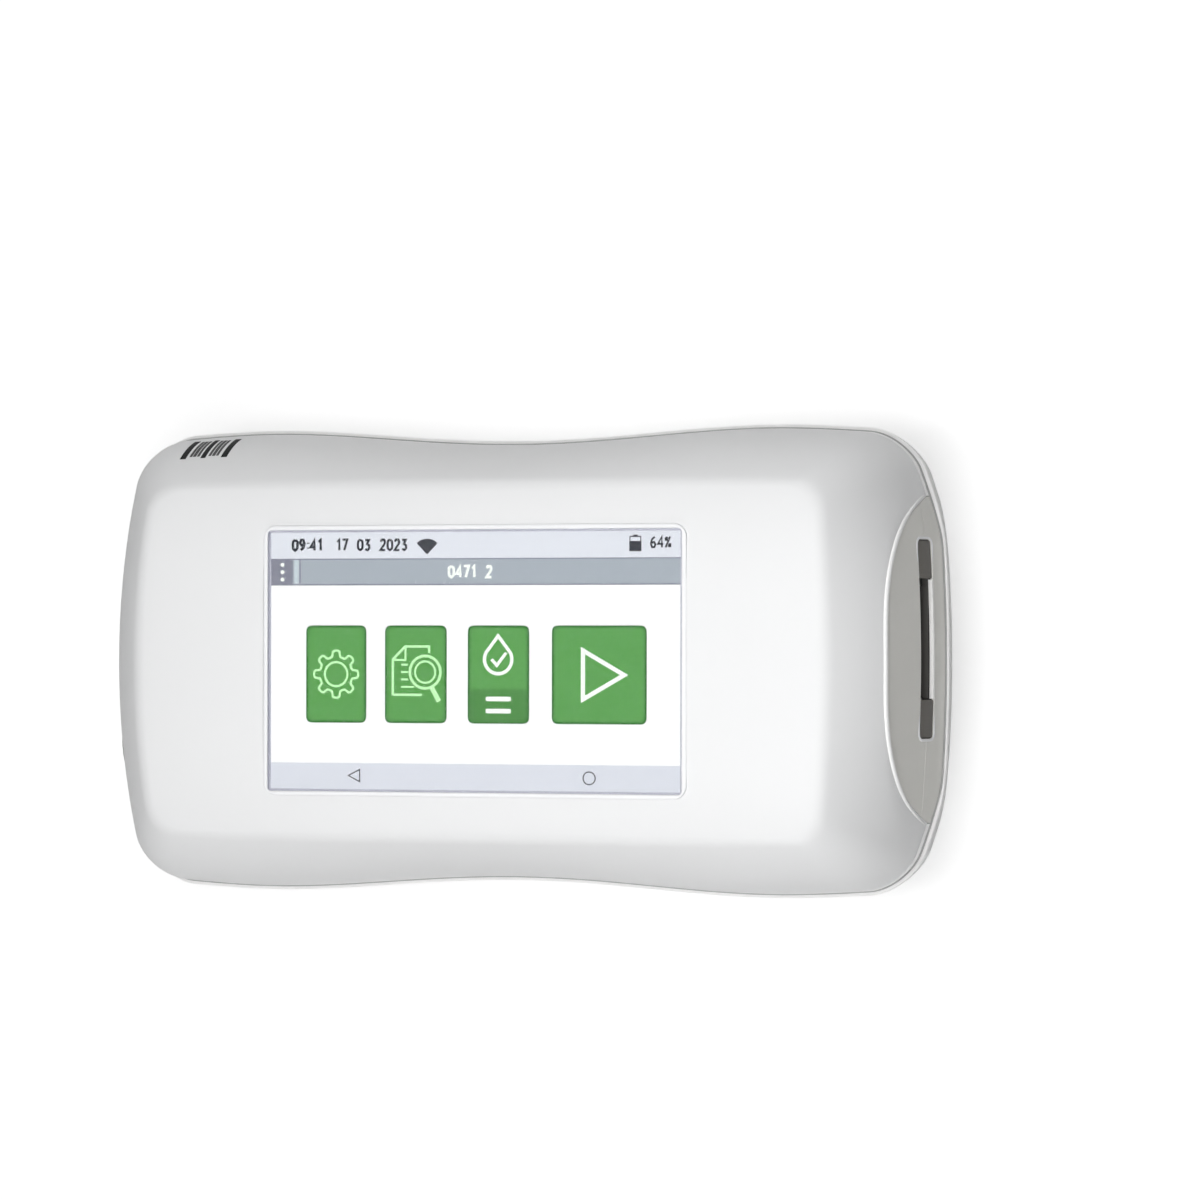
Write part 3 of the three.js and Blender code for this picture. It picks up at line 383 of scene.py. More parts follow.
def body_outline(spec):
    pts = base_outline(spec)
    x, y = pts[:, 0], pts[:, 1]
    reach = np.where(x > 0, spec["right"] - spec["right_bow"], spec["left"] - spec["left_bow"])
    bow = np.where(x > 0, spec["right_bow"], -spec["left_bow"])
    bowed = x + bow * (x / reach) ** 2 * (1 - (y / spec["half"]) ** 2)
    away = np.clip((x - WAIST_PLACE) / WAIST_REACH, -1, 1)
    pulled = spec["waist"] * np.cos(away * pi / 2) ** 2 + spec["taper"] * (x / reach) ** 4
    return np.stack([bowed, y * (1 - pulled / spec["half"])], axis=1)


def grown(spec, amount):
    wider = dict(spec)
    for key in ("left", "right", "half"):
        wider[key] += amount
    wider["corner"] = max(spec["corner"] + amount, 0.3)
    return wider


def mixed(first, second, share):
    return {key: first[key] + (second[key] - first[key]) * share for key in first}


def crown_height(x, y):
    reach = np.where(x > 0, PLATEAU["right"], PLATEAU["left"])
    return TOP - CROWN_SIDE * (y / PLATEAU["half"]) ** 4 - CROWN_END * (x / reach) ** 4


def end_face(y, z, lean=-FACE_LEAN):
    """Where the right end stands: bowed, and leaning back above the seam and below it."""
    return FACE_FOOT - y ** 2 / (2 * FACE_BOW) + lean * (z - SEAM_HEIGHT)


def held_back(x, limit, soft):
    """The smaller of x and limit, with a rounded change-over of the given reach."""
    share = np.clip(0.5 + 0.5 * (limit - x) / soft, 0, 1)
    return limit * (1 - share) + x * share - soft * share * (1 - share)


def flank_ring(narrow, wide, share, start, narrow_height, wide_height):
    """A ring at a share of the round wall between a narrow outline and a wide one."""
    angle = start + (pi / 2 - start) * share
    out = (sin(angle) - sin(start)) / (1 - sin(start))
    down = (cos(start) - cos(angle)) / cos(start)
    pts = body_outline(mixed(narrow, wide, out))
    z = narrow_height + (wide_height - narrow_height) * down
    return np.column_stack([pts, np.full(len(pts), z)])


def offset_ring(ring, out, z):
    """A ring moved out in plan along its own normals, at another height."""
    ahead, behind = np.roll(ring, -1, axis=0), np.roll(ring, 1, axis=0)
    along = ahead[:, :2] - behind[:, :2]
    along /= norm(along, axis=1)[:, None]
    normal = np.stack([along[:, 1], -along[:, 0]], axis=1)
    moved = ring[:, :2] + normal * out
    return np.column_stack([moved, np.full(len(ring), z)])


def thin_out(rings, gap):
    """Drops rings that lie closer than the gap to the one before, everywhere."""
    kept = [rings[0]]
    for ring in rings[1:-1]:
        if np.abs(ring - kept[-1]).max() > gap:
            kept.append(ring)
    kept.append(rings[-1])
    return kept


# Upper shell outside. The lip at its foot is pairs of outward offset and rise.
EDGE_SOFT, FLANK_INSET, FACE_ROUND = 2.0, 0.15, 0.5
CROWN_STEPS, CROWN_SPACING, CROWN_GAP = 25, 1.6, 0.4
FOOT_LIP = [(-1.6, 0), (-0.1, 0), (0.06, 0.06), (0.15, 0.2), (0.15, 0.36), (0.08, 0.48), (-0.05, 0.56),
            (-0.3, 0.62), (-0.54, 0.7), (-0.62, 0.86), (-0.57, 1.1), (-0.4, 1.45), (-0.2, 1.8), (-0.05, 2.1)]
FOOT_LIP_TOP = 2.3


def upper_rings(inset=0.0, steps=110, foot=True):
    """Rings from the foot of the upper shell to its crown, held in by the inset."""
    plateau, seam = grown(PLATEAU, -inset), grown(SEAM, -inset - FLANK_INSET)
    narrow = body_outline(plateau)
    edge_z = crown_height(narrow[:, 0], narrow[:, 1]) - inset
    flank = []
    for step in range(steps + 1):
        flank.append(flank_ring(plateau, seam, step / steps, SHOULDER_START, edge_z, UPPER_FOOT))
    flank = np.array(flank)
    edge = flank[0]

    def crown_ring(keep):
        x, y = edge[:, 0] * keep, edge[:, 1] * keep
        return np.stack([x, y, crown_height(x, y) - inset], axis=1)

    length = np.hypot(edge[:, 0], edge[:, 1])
    soft = 1 - EDGE_SOFT / length
    inner = crown_ring(soft)
    drops = norm(np.diff(flank, axis=0), axis=2)
    walked = np.concatenate([np.zeros((1, len(edge))), np.cumsum(drops, axis=0)])
    outer = np.array([[np.interp(EDGE_SOFT, walked[:, i], flank[:, i, k]) for k in range(3)]
                      for i in range(len(edge))])

    def bent(t):
        return inner * (1 - t) ** 2 + edge * 2 * t * (1 - t) + outer * t ** 2

    rings = []
    for level in range(steps, -1, -1):
        share = (walked[level] / EDGE_SOFT)[:, None]
        rings.append(np.where(share < 1, bent(0.5 + 0.5 * share), flank[level]))
    rings += [bent(t) for t in (0.4, 0.3, 0.2, 0.1, 0.0)]
    for share in np.linspace(0, 1, CROWN_STEPS + 1)[1:-1]:
        ring = crown_ring(1 - share ** CROWN_SPACING)
        if (np.hypot(ring[:, 0], ring[:, 1]) < length * soft - CROWN_GAP).all():
            rings.append(ring)
    for ring in rings:
        ring[:, 0] = held_back(ring[:, 0], end_face(ring[:, 1], ring[:, 2]) - inset, FACE_ROUND)
    if not foot:
        return rings
    lip = [offset_ring(rings[0], out, UPPER_FOOT + rise) for out, rise in FOOT_LIP]
    return lip + [ring for ring in rings if ring[:, 2].min() >= UPPER_FOOT + FOOT_LIP_TOP]


# End panel, seen along the length: an arch that meets the seam at both sides, and the slot through it
ARCH_HALF, ARCH_Y, ARCH_TOP, ARCH_POWER, ARCH_ROOT = 35.8, 0.4, 46.43, 3.0, 0.6
ARCH_STEPS, ARCH_FROM, ARCH_SMOOTH = 160, 60, 6
SLOT_Y, SLOT_Z, SLOT_LONG, SLOT_HIGH, SLOT_CORNER, SLOT_GAP = 4.83, 29.9, 42.55, 5.4, 1.1, 0.05
PANEL_GAP, PANEL_SUNK, PANEL_BACK, PANEL_FOOT = 0.72, 0.1, 2.5, 0.06
PANEL_FLARE, FLARE_TOP, FLARE_HIGH = 0.3, 25.2, 1.8
FILLER_FROM, FILLER_GAP, LEDGE_HALF = 13.0, 0.2, 12.75
GROOVES = ((26.9, 44), (-44, -17.2))
GROOVE_LOW, GROOVE_HIGH, GROOVE_DEPTH = 29.82, 29.98, 0.28
LIP_GROW, LIP_ROUND, LIP_STAND, LIP_SUNK, LIP_STEPS = 0.35, 0.28, 0.16, 0.08, 12
SLEEVE = ((0.04, -0.35), (-0.08, -0.35), (-0.08, -2.4), (0.04, -2.4))


def arch_line():
    """The arch on the skin of the upper shell, from the near side over the top to the far side."""
    shares = np.sin(np.linspace(-pi / 2, pi / 2, ARCH_STEPS + 1))
    ys = ARCH_Y + ARCH_HALF * shares
    rise = np.clip(1 - np.abs(shares) ** ARCH_POWER, 0, 1) ** ARCH_ROOT
    zs = UPPER_FOOT + (ARCH_TOP - UPPER_FOOT) * rise
    heights, reaches = [], []
    for ring in upper_rings(foot=False):
        side = ring[ring[:, 0] > ARCH_FROM]
        if len(side) < 4:
            break
        side = side[np.argsort(side[:, 1])]
        heights.append(np.interp(ys, side[:, 1], side[:, 2]))
        reaches.append(np.interp(ys, side[:, 1], side[:, 0]))
    xs = [np.interp(z, high, far) for z, high, far in zip(zs, np.transpose(heights), np.transpose(reaches))]
    window = 2 * ARCH_SMOOTH + 1
    xs = np.convolve(np.pad(xs, ARCH_SMOOTH, "edge"), np.full(window, 1 / window), "valid")
    return np.stack([xs, ys, zs], axis=1)


def lens_prism(name, inset, low, look=None):
    """A prism along X inside the arch, moved in by the inset and closed at a low line."""
    loop = arch_line()[:, 1:]
    along = np.gradient(loop, axis=0)
    along /= norm(along, axis=1)[:, None]
    moved = loop + np.stack([along[:, 1], -along[:, 0]], axis=1) * inset
    moved = moved[moved[:, 1] > low]
    outline = [(moved[0, 0], low)] + [tuple(point) for point in moved] + [(moved[-1, 0], low)]
    return prism_x(outline, (78, 99), name, look)


def end_skin(inset, flare=0.0):
    """A tool inside the upper shell's skin, with its foot flared out."""
    rings = thin_out(upper_rings(inset=inset, steps=70, foot=False), 0.5)
    for ring in rings:
        ring[:, 0] += flare * np.clip((FLARE_TOP - ring[:, 2]) / FLARE_HIGH, 0, 1) ** 1.5
    return lofted("tool", rings)


def face_bar(name, front, back, low, high, reach, look=None):
    """A bar along the end face, between two offsets from it, two heights and two places across."""
    ys = np.linspace(-45, 45, 60)
    rings = []
    for z in (low, high):
        fronts = [(end_face(y, z) + front, y, z) for y in ys]
        backs = [(end_face(y, z) + back, y, z) for y in ys[::-1]]
        rings.append(fronts + backs)
    bar = lofted(name, rings, look)
    cut(bar, [box((80, 99), reach, (20, 40))], "INTERSECT")
    return bar


def slot_outline(grow, steps=8):
    long, high, corner = SLOT_LONG + 2 * grow, SLOT_HIGH + 2 * grow, SLOT_CORNER + grow
    return rounded(long, high, corner, (SLOT_Y, SLOT_Z), steps)


def slot_ring(grow, out):
    """The slot's outline, laid on the end face and lifted off it by out."""
    return [(end_face(y, z) + out, y, z) for y, z in slot_outline(grow, 10)]


def end_panel():
    # The end panel's darker grey is painted shade.
    slab = lens_prism("end_panel_face", PANEL_GAP, UPPER_FOOT + PANEL_FOOT, panel_shaded_grey)
    cut(slab, [end_skin(PANEL_SUNK, PANEL_FLARE)], "INTERSECT")
    cut(slab, [end_skin(PANEL_BACK)])
    cut(slab, [face_bar("tool", 3, -GROOVE_DEPTH, GROOVE_LOW, GROOVE_HIGH, reach) for reach in GROOVES])
    cut(slab, [prism_x(slot_outline(SLOT_GAP), (80, 100))])
    bevel(slab, 0.14)
    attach(slab, "housing")
    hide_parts("end_panel")
    rings = []
    for step in range(LIP_STEPS):
        a = 2 * pi * step / LIP_STEPS
        rings.append(slot_ring(LIP_GROW + LIP_ROUND * cos(a), LIP_STAND * sin(a) - LIP_SUNK))
    lip = looped("slot_lip", rings, bezel_plastic)
    sleeve = looped("slot_sleeve", [slot_ring(grow, out) for grow, out in SLEEVE], dark_plastic)
    for number, sign in ((1, -1), (2, 1)):
        reach = sorted((SLOT_Y + sign * (SLOT_LONG / 2 - FILLER_GAP), SLOT_Y + sign * FILLER_FROM))
        filler = face_bar(f"slot_filler_{number}", -0.12, -5, 27.4, 32.4, reach, slot_grey)
        bevel(filler, 0.25)
        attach(filler, "housing")
        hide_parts(f"slot_insert_{number}")
    reach = (SLOT_Y - LEDGE_HALF, SLOT_Y + LEDGE_HALF)
    strip = face_bar("ledge_strip", 0.08, -0.8, 27.32, 27.92, reach, ledge_white)
    bevel(strip, 0.08)
    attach(strip, "housing")
    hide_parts("cuvette_ledge")


# Upper shell: wall, window for the screen, pocket for the end panel, bead on the arch
SHELL_WALL, CEILING = 2.4, 53
BEZEL_GAP, BEZEL_WIDE, WINDOW_GAP = 0.45, 0.75, 0.03
WINDOW_GROW = 2 * (BEZEL_GAP + BEZEL_WIDE + WINDOW_GAP)
WINDOW_CORNER, POCKET_GAP, BORE_RADIUS = 3.03, 0.5, 5.7
BEAD_FOOT, BEAD_THIN, BEAD_THICK, BEAD_FADE, BEAD_SIDES = 26.5, 0.08, 0.58, 5, 14
BEAD_SUNK = np.array((0.2, 0, 0.05))


def bead_on(path, radii):
    """A round bead of changing radius along a path."""
    along = np.gradient(path, axis=0)
    along /= norm(along, axis=1)[:, None]
    rings = []
    for point, way, radius in zip(path, along, radii):
        side = np.cross(way, (0, 0, 1.0))
        side /= norm(side)
        up = np.cross(side, way)
        rings.append([tuple(point + radius * (cos(a) * side + sin(a) * up))
                      for a in np.linspace(0, 2 * pi, BEAD_SIDES, endpoint=False)])
    return lofted("crease_bead", rings, white_plastic, sharp=60)


def paint_edge_highlight(obj, low, high):
    """Paints the faces between two heights a whiter white: a painted highlight on rounded edges."""
    obj.data.materials.append(edge_highlight_white)
    for face in obj.data.polygons:
        if low * MM < face.center.z < high * MM:
            face.material_index = 1


def upper_shell():
    shell = lofted("upper_shell_skin", thin_out(upper_rings(), 0.22), white_plastic, sharp=50)
    inside = thin_out(upper_rings(inset=SHELL_WALL, steps=24, foot=False), 1.5)
    low = inside[0].copy()
    low[:, 2] = UPPER_FOOT - 2
    for ring in inside:
        ring[:, 2] = np.minimum(ring[:, 2], CEILING)
    hollow = lofted("tool", [low] + [ring for ring in inside if ring[:, 2].min() < CEILING - 0.1])
    long, wide = SCREEN_LONG + WINDOW_GROW, SCREEN_WIDE + WINDOW_GROW
    window = plate(long, wide, WINDOW_CORNER, (50, 60), (SCREEN_X, 0), 10)
    pocket = lens_prism("tool", POCKET_GAP, UPPER_FOOT - POCKET_GAP)
    bore = rod(BORE_RADIUS, -110, -80, BUTTON_AT, 64, "x")
    cut(shell, [hollow, window, pocket, bore])
    crease = arch_line()
    crease = crease[crease[:, 2] > BEAD_FOOT]
    share = np.linspace(0, 1, len(crease))
    fade = np.clip(np.minimum(share, 1 - share) * BEAD_FADE, 0, 1)
    bead = bead_on(crease - BEAD_SUNK * fade[:, None], BEAD_THIN + BEAD_THICK * fade)
    # The bead's faces take slot 1, the whiter white: a painted highlight along the arch.
    for face in bead.data.polygons:
        face.material_index = 1
    whole = joined("upper_shell_skin", [shell, bead], 40)
    # The lip at the upper shell's foot takes the whiter white: a painted highlight.
    paint_edge_highlight(whole, UPPER_FOOT - 0.05, UPPER_FOOT + 0.66)
    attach(whole, "housing")
    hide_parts("upper_shell")


# Lower shell: pairs of outward offset and rise for its rounded rim and its rounded foot
RIM_ROUND = ((0, -0.4), (-0.03, -0.25), (-0.1, -0.12), (-0.22, -0.03), (-0.36, 0))
FLOOR_ROUND = ((-0.9, 0), (-0.35, 0.06))
RIM_ROUND_LOW, UNDER_ROUND = 0.45, 1.0
BAY_LONG, BAY_WIDE, COLLAR_GROW = 51.2, 49.36, 8
DOCK_LONG, DOCK_WIDE, DOCK_AT = 16.6, 8.6, (36, 14)
PORT_LONG, PORT_HIGH, PORT_CORNER, PORT_SEAT = 14.4, 8.4, 1.1, -91.7
SOCKET_HALF, SOCKET_LOW, SOCKET_TOP = 4.75, 10.6, 14.4
READER_LEFT, READER_RIGHT, READER_LOW, READER_TOP = -78.1, -67.9, 10.4, 17.6


def lower_rings(inset, steps):
    floor, seam = grown(FLOOR, -inset), grown(SEAM, RIM_LIP - inset)
    rings = []
    for step in range(steps + 1):
        ring = flank_ring(floor, seam, step / steps, BELLY_START, FLOOR_HEIGHT + inset, LOWER_RIM)
        limit = end_face(ring[:, 1], ring[:, 2], UNDER_LEAN) + RIM_LIP - inset
        ring[:, 0] = held_back(ring[:, 0], limit, UNDER_ROUND)
        rings.append(ring)
    return rings


def lower_skin(name, inset, steps, look=None):
    """The solid inside the lower shell's skin, a little higher than its rim."""
    rings = lower_rings(inset, steps)
    rings.append(offset_ring(rings[-1], 0, LOWER_RIM + 1))
    return lofted(name, rings, look, sharp=40)


def wall_piece(name, skin, thick, tool, look):
    """A piece of the lower shell's wall, between two insets of its skin."""
    piece = lower_skin(name, skin, 30, look)
    cut(piece, [lower_skin("tool", thick, 20)])
    cut(piece, [tool], "INTERSECT")
    return piece


def lower_shell():
    rings = lower_rings(0.0, 44)
    rim = [offset_ring(rings[-1], out, LOWER_RIM + rise) for out, rise in RIM_ROUND]
    foot = [offset_ring(rings[0], out, FLOOR_HEIGHT + rise) for out, rise in FLOOR_ROUND]
    wall = [ring for ring in rings[1:] if ring[:, 2].max() < LOWER_RIM - RIM_ROUND_LOW]
    shell = lofted("lower_shell_skin", foot + wall + rim, lower_plastic, sharp=40)
    cut(shell, [lower_skin("tool", 2.5, 10)])
    cut(shell, [plate(DOOR_LONG + COLLAR_GROW, DOOR_WIDE + COLLAR_GROW, 3, (1.9, 7.6), (DOOR_X, 0))], "UNION")
    tools = [
        plate(DOOR_LONG, DOOR_WIDE, 3, (-4, 4.1), (DOOR_X, 0)),
        plate(BAY_LONG, BAY_WIDE, 3, (-4, 12), (DOOR_X, 0)),
        plate(DOCK_LONG, DOCK_WIDE, 0.4, (-4, 9), DOCK_AT),
        prism_x(rounded(PORT_LONG, PORT_HIGH, PORT_CORNER, (0, PORT_HEIGHT)), (-110, PORT_SEAT)),
        box((-100, -85), (-SOCKET_HALF, SOCKET_HALF), (SOCKET_LOW, SOCKET_TOP)),
        box((READER_LEFT, READER_RIGHT), (20, 60), (READER_LOW, READER_TOP)),
    ]
    for screw_at, foot_at in zip(CASE_SCREWS, FEET):
        tools.append(rod(3.1, -4, 5.6, screw_at, 40))
        tools.append(rod(1.7, 5, 22, screw_at, 24))
        tools.append(rod(5.7, -4, 2.5, foot_at, 56))
    cut(shell, tools)
    # The lower shell's rim takes the whiter white: a painted highlight.
    paint_edge_highlight(shell, LOWER_RIM - 0.45, LOWER_RIM + 0.1)
    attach(shell, "housing")
    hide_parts("lower_shell")


# Seal between the shells: pairs of outward offset and height
SEAL_PROFILE = [(-3.2, 21.8), (-2.6, 21.8), (-2.6, 22.85), (0.3, 22.85), (0.42, 22.92), (0.42, 23.08),
                (0.3, 23.15), (-2.6, 23.15), (-2.6, 24.2), (-3.2, 24.2)]


def seal():
    base = upper_rings(steps=30, foot=False)[0]
    band = looped("seam_seal", [offset_ring(base, out, z) for out, z in SEAL_PROFILE], seal_rubber)
    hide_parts("shell_seal")


# Screen: rim, line round the page and glass, as pairs of outward offset and height. The line round the page
# is a bluish grey band: a painted shadow at the inner edge of the screen rim.
BEZEL_PROFILE = [(0, 53.05), (0.75, 53.05), (0.75, 56.66), (0.7, 56.76), (0.6, 56.81), (0.4, 56.84),
                 (0.0, 56.84), (-0.18, 56.8), (-0.28, 56.71), (-0.24, 56.6), (0, 56.55)]
BEZEL_CORNER, BEZEL_CORNER_GAIN = 1.4, 1.6 / 0.75
BORDER_PROFILE = [(-0.33, 55.78), (0.42, 55.78), (0.42, 55.93), (-0.33, 55.93)]
BORDER_CORNER = 0.35
GLASS_PROFILE = [(-0.1, 56.04), (0, 56.12), (0, 56.4), (-0.08, 56.5)]
GLASS_GROW, GLASS_CORNER = 0.8, 1.3


def screen_rings(grow, corner, gain, profile):
    """Rings round the screen: the corners widen with the offset by the gain."""
    rings = []
    for out, z in profile:
        long, wide = SCREEN_LONG + grow + 2 * out, SCREEN_WIDE + grow + 2 * out
        outline = rounded(long, wide, max(corner + gain * out, 0.05), (SCREEN_X, 0), 12)
        rings.append([(x, y, z) for x, y in outline])
    return rings


def screen_ring():
    rings = screen_rings(2 * BEZEL_GAP, BEZEL_CORNER, BEZEL_CORNER_GAIN, BEZEL_PROFILE)
    band = looped("screen_ring", rings, bezel_plastic)
    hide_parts("screen_bezel")
    # The band round the page is a painted shadow at the rim's inner edge.
    line = looped("page_border_shadow", screen_rings(0, BORDER_CORNER, 1, BORDER_PROFILE), rim_gap_shadow_grey)
    rings = screen_rings(GLASS_GROW, GLASS_CORNER, 0, GLASS_PROFILE)
    sheet = lofted("glass_sheet", rings, cover_glass, "housing", 10)
    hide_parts("touch_glass")


# Page on the display, in millimetres from the left and top of the picture area.
# Level 0 is the page itself, and each level above lies a little higher.
INKS, ICONS = 3, 4
LEFT_EDGE, TOP_EDGE = SCREEN_X - SCREEN_LONG / 2, SCREEN_WIDE / 2
PAGE_HEIGHT, LEVEL_STEP, MARK_THICK, STROKE_THICK = 55.86, 0.02, 0.015, 0.012
STATUS_FOOT, TITLE_FOOT, NAV_TOP, BAR_CORNER = 6.0, 11.8, 50.2, 0.3
TITLE_LINE_TOP, TITLE_LINE_LOW = STATUS_FOOT + 0.25, TITLE_FOOT - 0.3
TILES = [(8.5, 22.4), (26.7, 40.8), (45.6, 59.5), (64.6, 85.8)]
TILE_TOP, TILE_FOOT, TILE_EDGE, TILE_SPLIT = 20.45, 41.5, 0.5, 34.1


def on_page(spots, level, depth=0.0):
    return [(LEFT_EDGE + u, TOP_EDGE - v, PAGE_HEIGHT + LEVEL_STEP * level - depth) for u, v in spots]


def flat_shape(outline, level, look):
    rings = [on_page(outline, level), on_page(outline, level, MARK_THICK)]
    return lofted("mark", rings, look, "housing", 20)


def card(u0, u1, v0, v1, corner, level, look):
    return flat_shape(rounded(u1 - u0, v1 - v0, corner, ((u0 + u1) / 2, (v0 + v1) / 2), 6), level, look)


def stroke(path, width, level, look, closed=False):
    """A flat line of one width along a path, mitred at its turns."""
    path = [np.array(p, float) for p in path]
    count = len(path)
    legs = []
    for i, point in enumerate(path):
        leg = path[(i + 1) % count] - point
        legs.append(leg / max(norm(leg), 1e-9))
    points = []
    for i, point in enumerate(path):
        first = legs[i - 1] if i > 0 or closed else legs[i]
        second = legs[i] if i < count - 1 or closed else legs[i - 1]
        mean = first + second
        mean = mean / max(norm(mean), 1e-9)
        stretch = min(1 / max(float(mean @ first), 0.4), 2)
        aside = np.array((-mean[1], mean[0])) * width / 2 * stretch
        spots = [point + aside, point - aside]
        points += on_page(spots, level) + on_page(spots[::-1], level, STROKE_THICK)
    return new_piece("mark", points, ring_faces(count, 4, closed), look, "housing", 20)


def arc(centre, radius, start, end, steps=24):
    angles = [radians(start + (end - start) * i / steps) for i in range(steps + 1)]
    return [(centre[0] + radius * cos(a), centre[1] + radius * sin(a)) for a in angles]


def circle(centre, radius, width, look, level=ICONS):
    return stroke(arc(centre, radius, 0, 360, 40)[:-1], width, level, look, True)


# Plain numerals drawn as strokes in a cell 100 units wide and 200 high
NUMERALS = {
    "0": [[(50, 0), (90, 35), (95, 100), (90, 165), (50, 200), (10, 165), (5, 100), (10, 35), (50, 0)]],
    "1": [[(20, 45), (60, 0), (60, 200)]],
    "2": [[(10, 45), (30, 5), (75, 5), (92, 50), (75, 95), (5, 200), (95, 200)]],
    "3": [[(10, 10), (80, 10), (45, 85), (85, 110), (90, 160), (55, 200), (10, 180)]],
    "4": [[(75, 200), (75, 0), (5, 135), (100, 135)]],
    "6": [[(80, 5), (30, 50), (8, 130), (30, 195), (70, 195), (92, 145), (65, 98), (15, 120)]],
    "7": [[(5, 0), (95, 0), (40, 200)]],
    "9": [[(85, 80), (35, 102), (8, 55), (30, 5), (70, 5), (92, 70), (70, 150), (20, 195)]],
    ":": [[(30, 55), (30, 75)], [(30, 145), (30, 165)]],
    "%": [[(90, 0), (10, 200)], [(10, 20), (35, 20), (35, 60), (10, 60), (10, 20)],
          [(70, 140), (95, 140), (95, 180), (70, 180), (70, 140)]],
}
ADVANCE = {":": 75, "1": 115, " ": 80}
CELL_WIDE, PLAIN_ADVANCE = 1.05, 135


def numerals(text, u, v, high, width, look):
    parts, tall = [], high / 200
    wide = tall * CELL_WIDE
    for mark in text:
        for path in NUMERALS.get(mark, []):
            parts.append(stroke([(u + a * wide, v + b * tall) for a, b in path], width, INKS, look))
        u += wide * ADVANCE.get(mark, PLAIN_ADVANCE)
    return parts


# A gear's tooth as pairs of angle and radius
TOOTH = ((-14, 3.85), (-9, 4.9), (-4, 5.1), (4, 5.1), (9, 4.9), (14, 3.85), (22.5, 3.75))


def gear(centre, look):
    outline = []
    for tooth in range(8):
        for offset, radius in TOOTH:
            a = radians(tooth * 45 + offset)
            outline.append((centre[0] + radius * cos(a), centre[1] + radius * sin(a)))
    return [stroke(outline, 0.5, ICONS, look, True), circle(centre, 2.6, 0.5, look)]


def document(look):
    """A sheet with a folded corner, four lines on it and a magnifier over it."""
    lines = [([(28.5, 35.4), (28.5, 27.8), (31.3, 25.0), (36.8, 25.0), (36.8, 26.4)], 0.55),
             ([(28.5, 27.9), (31.4, 27.9), (31.4, 25.1)], 0.45), ([(28.5, 35.4), (35.2, 35.4)], 0.55),
             ([(37.4, 33.8), (39.1, 36.8)], 1.1)]
    for v, end in ((28.9, 32.0), (30.5, 32.0), (32.1, 32.0), (33.7, 33.4)):
        lines.append(([(30.4, v), (end, v)], 0.42))
    parts = [stroke(path, width, ICONS, look) for path, width in lines]
    return parts + [circle((35.9, 30.5), radius, width, look) for radius, width in ((3.5, 0.6), (2.3, 0.45))]


def end_bar(square, rounded, look):
    """A bar across the page, with rounded corners at one of its two heights."""
    way = 1 if rounded > square else -1
    v, middle = rounded - way * BAR_CORNER, 180 - way * 90
    outline = [(0, square)] + arc((BAR_CORNER, v), BAR_CORNER, 180, middle, 8)
    outline += arc((SCREEN_LONG - BAR_CORNER, v), BAR_CORNER, middle, middle - way * 90, 8)
    return flat_shape(outline + [(SCREEN_LONG, square)], 0, look)


def white_icons(bright):
    """A drop with a tick and two lines, a start triangle, the menu's dots and a plain number."""
    drop = [(52.5, 22.7)] + arc((52.5, 27.7), 3.1, -28, 208, 26)
    parts = [stroke(drop, 0.75, ICONS, bright, True)]
    parts.append(stroke([(51.0, 27.7), (52.2, 29.0), (54.3, 26.3)], 0.7, ICONS, bright))
    parts += [card(49.7, 55.4, v, v + 1.0, 0.3, ICONS, bright) for v in (35.7, 38.3)]
    parts.append(stroke([(71.6, 25.8), (71.6, 36.2), (80.8, 31.0)], 0.95, ICONS, bright, True))
    parts += [card(2.5, 3.4, v - 0.42, v + 0.42, 0.4, INKS, bright) for v in (7.3, 8.9, 10.5)]
    return parts + numerals("0471  2", 41.2, 7.7, 2.4, 0.6, bright)


def status_marks(ink):
    """Time, date, wireless sign and battery above, a triangle and a circle below."""
    parts = numerals("09:41", 5.3, 1.9, 2.3, 0.6, ink)
    parts += numerals("17  03  2023", 15.4, 1.9, 2.3, 0.5, ink)
    parts.append(flat_shape([(36.3, 5.2)] + arc((36.3, 5.2), 3.4, 226, 314, 12), INKS, ink))
    parts += [card(81.9, 84.6, 2.5, 4.7, 0.15, INKS, ink), card(82.7, 83.8, 1.15, 1.5, 0.05, INKS, ink)]
    parts.append(stroke([(82.05, 2.6), (82.05, 1.55), (84.45, 1.55), (84.45, 2.6)], 0.22, INKS, ink))
    parts += numerals("64%", 86.6, 1.6, 2.3, 0.42, ink)
    parts.append(stroke([(20.9, 51.6), (20.9, 54.2), (18.3, 52.9)], 0.25, INKS, ink, True))
    return parts + [circle((73.0, 53.0), 1.35, 0.25, ink, INKS)]


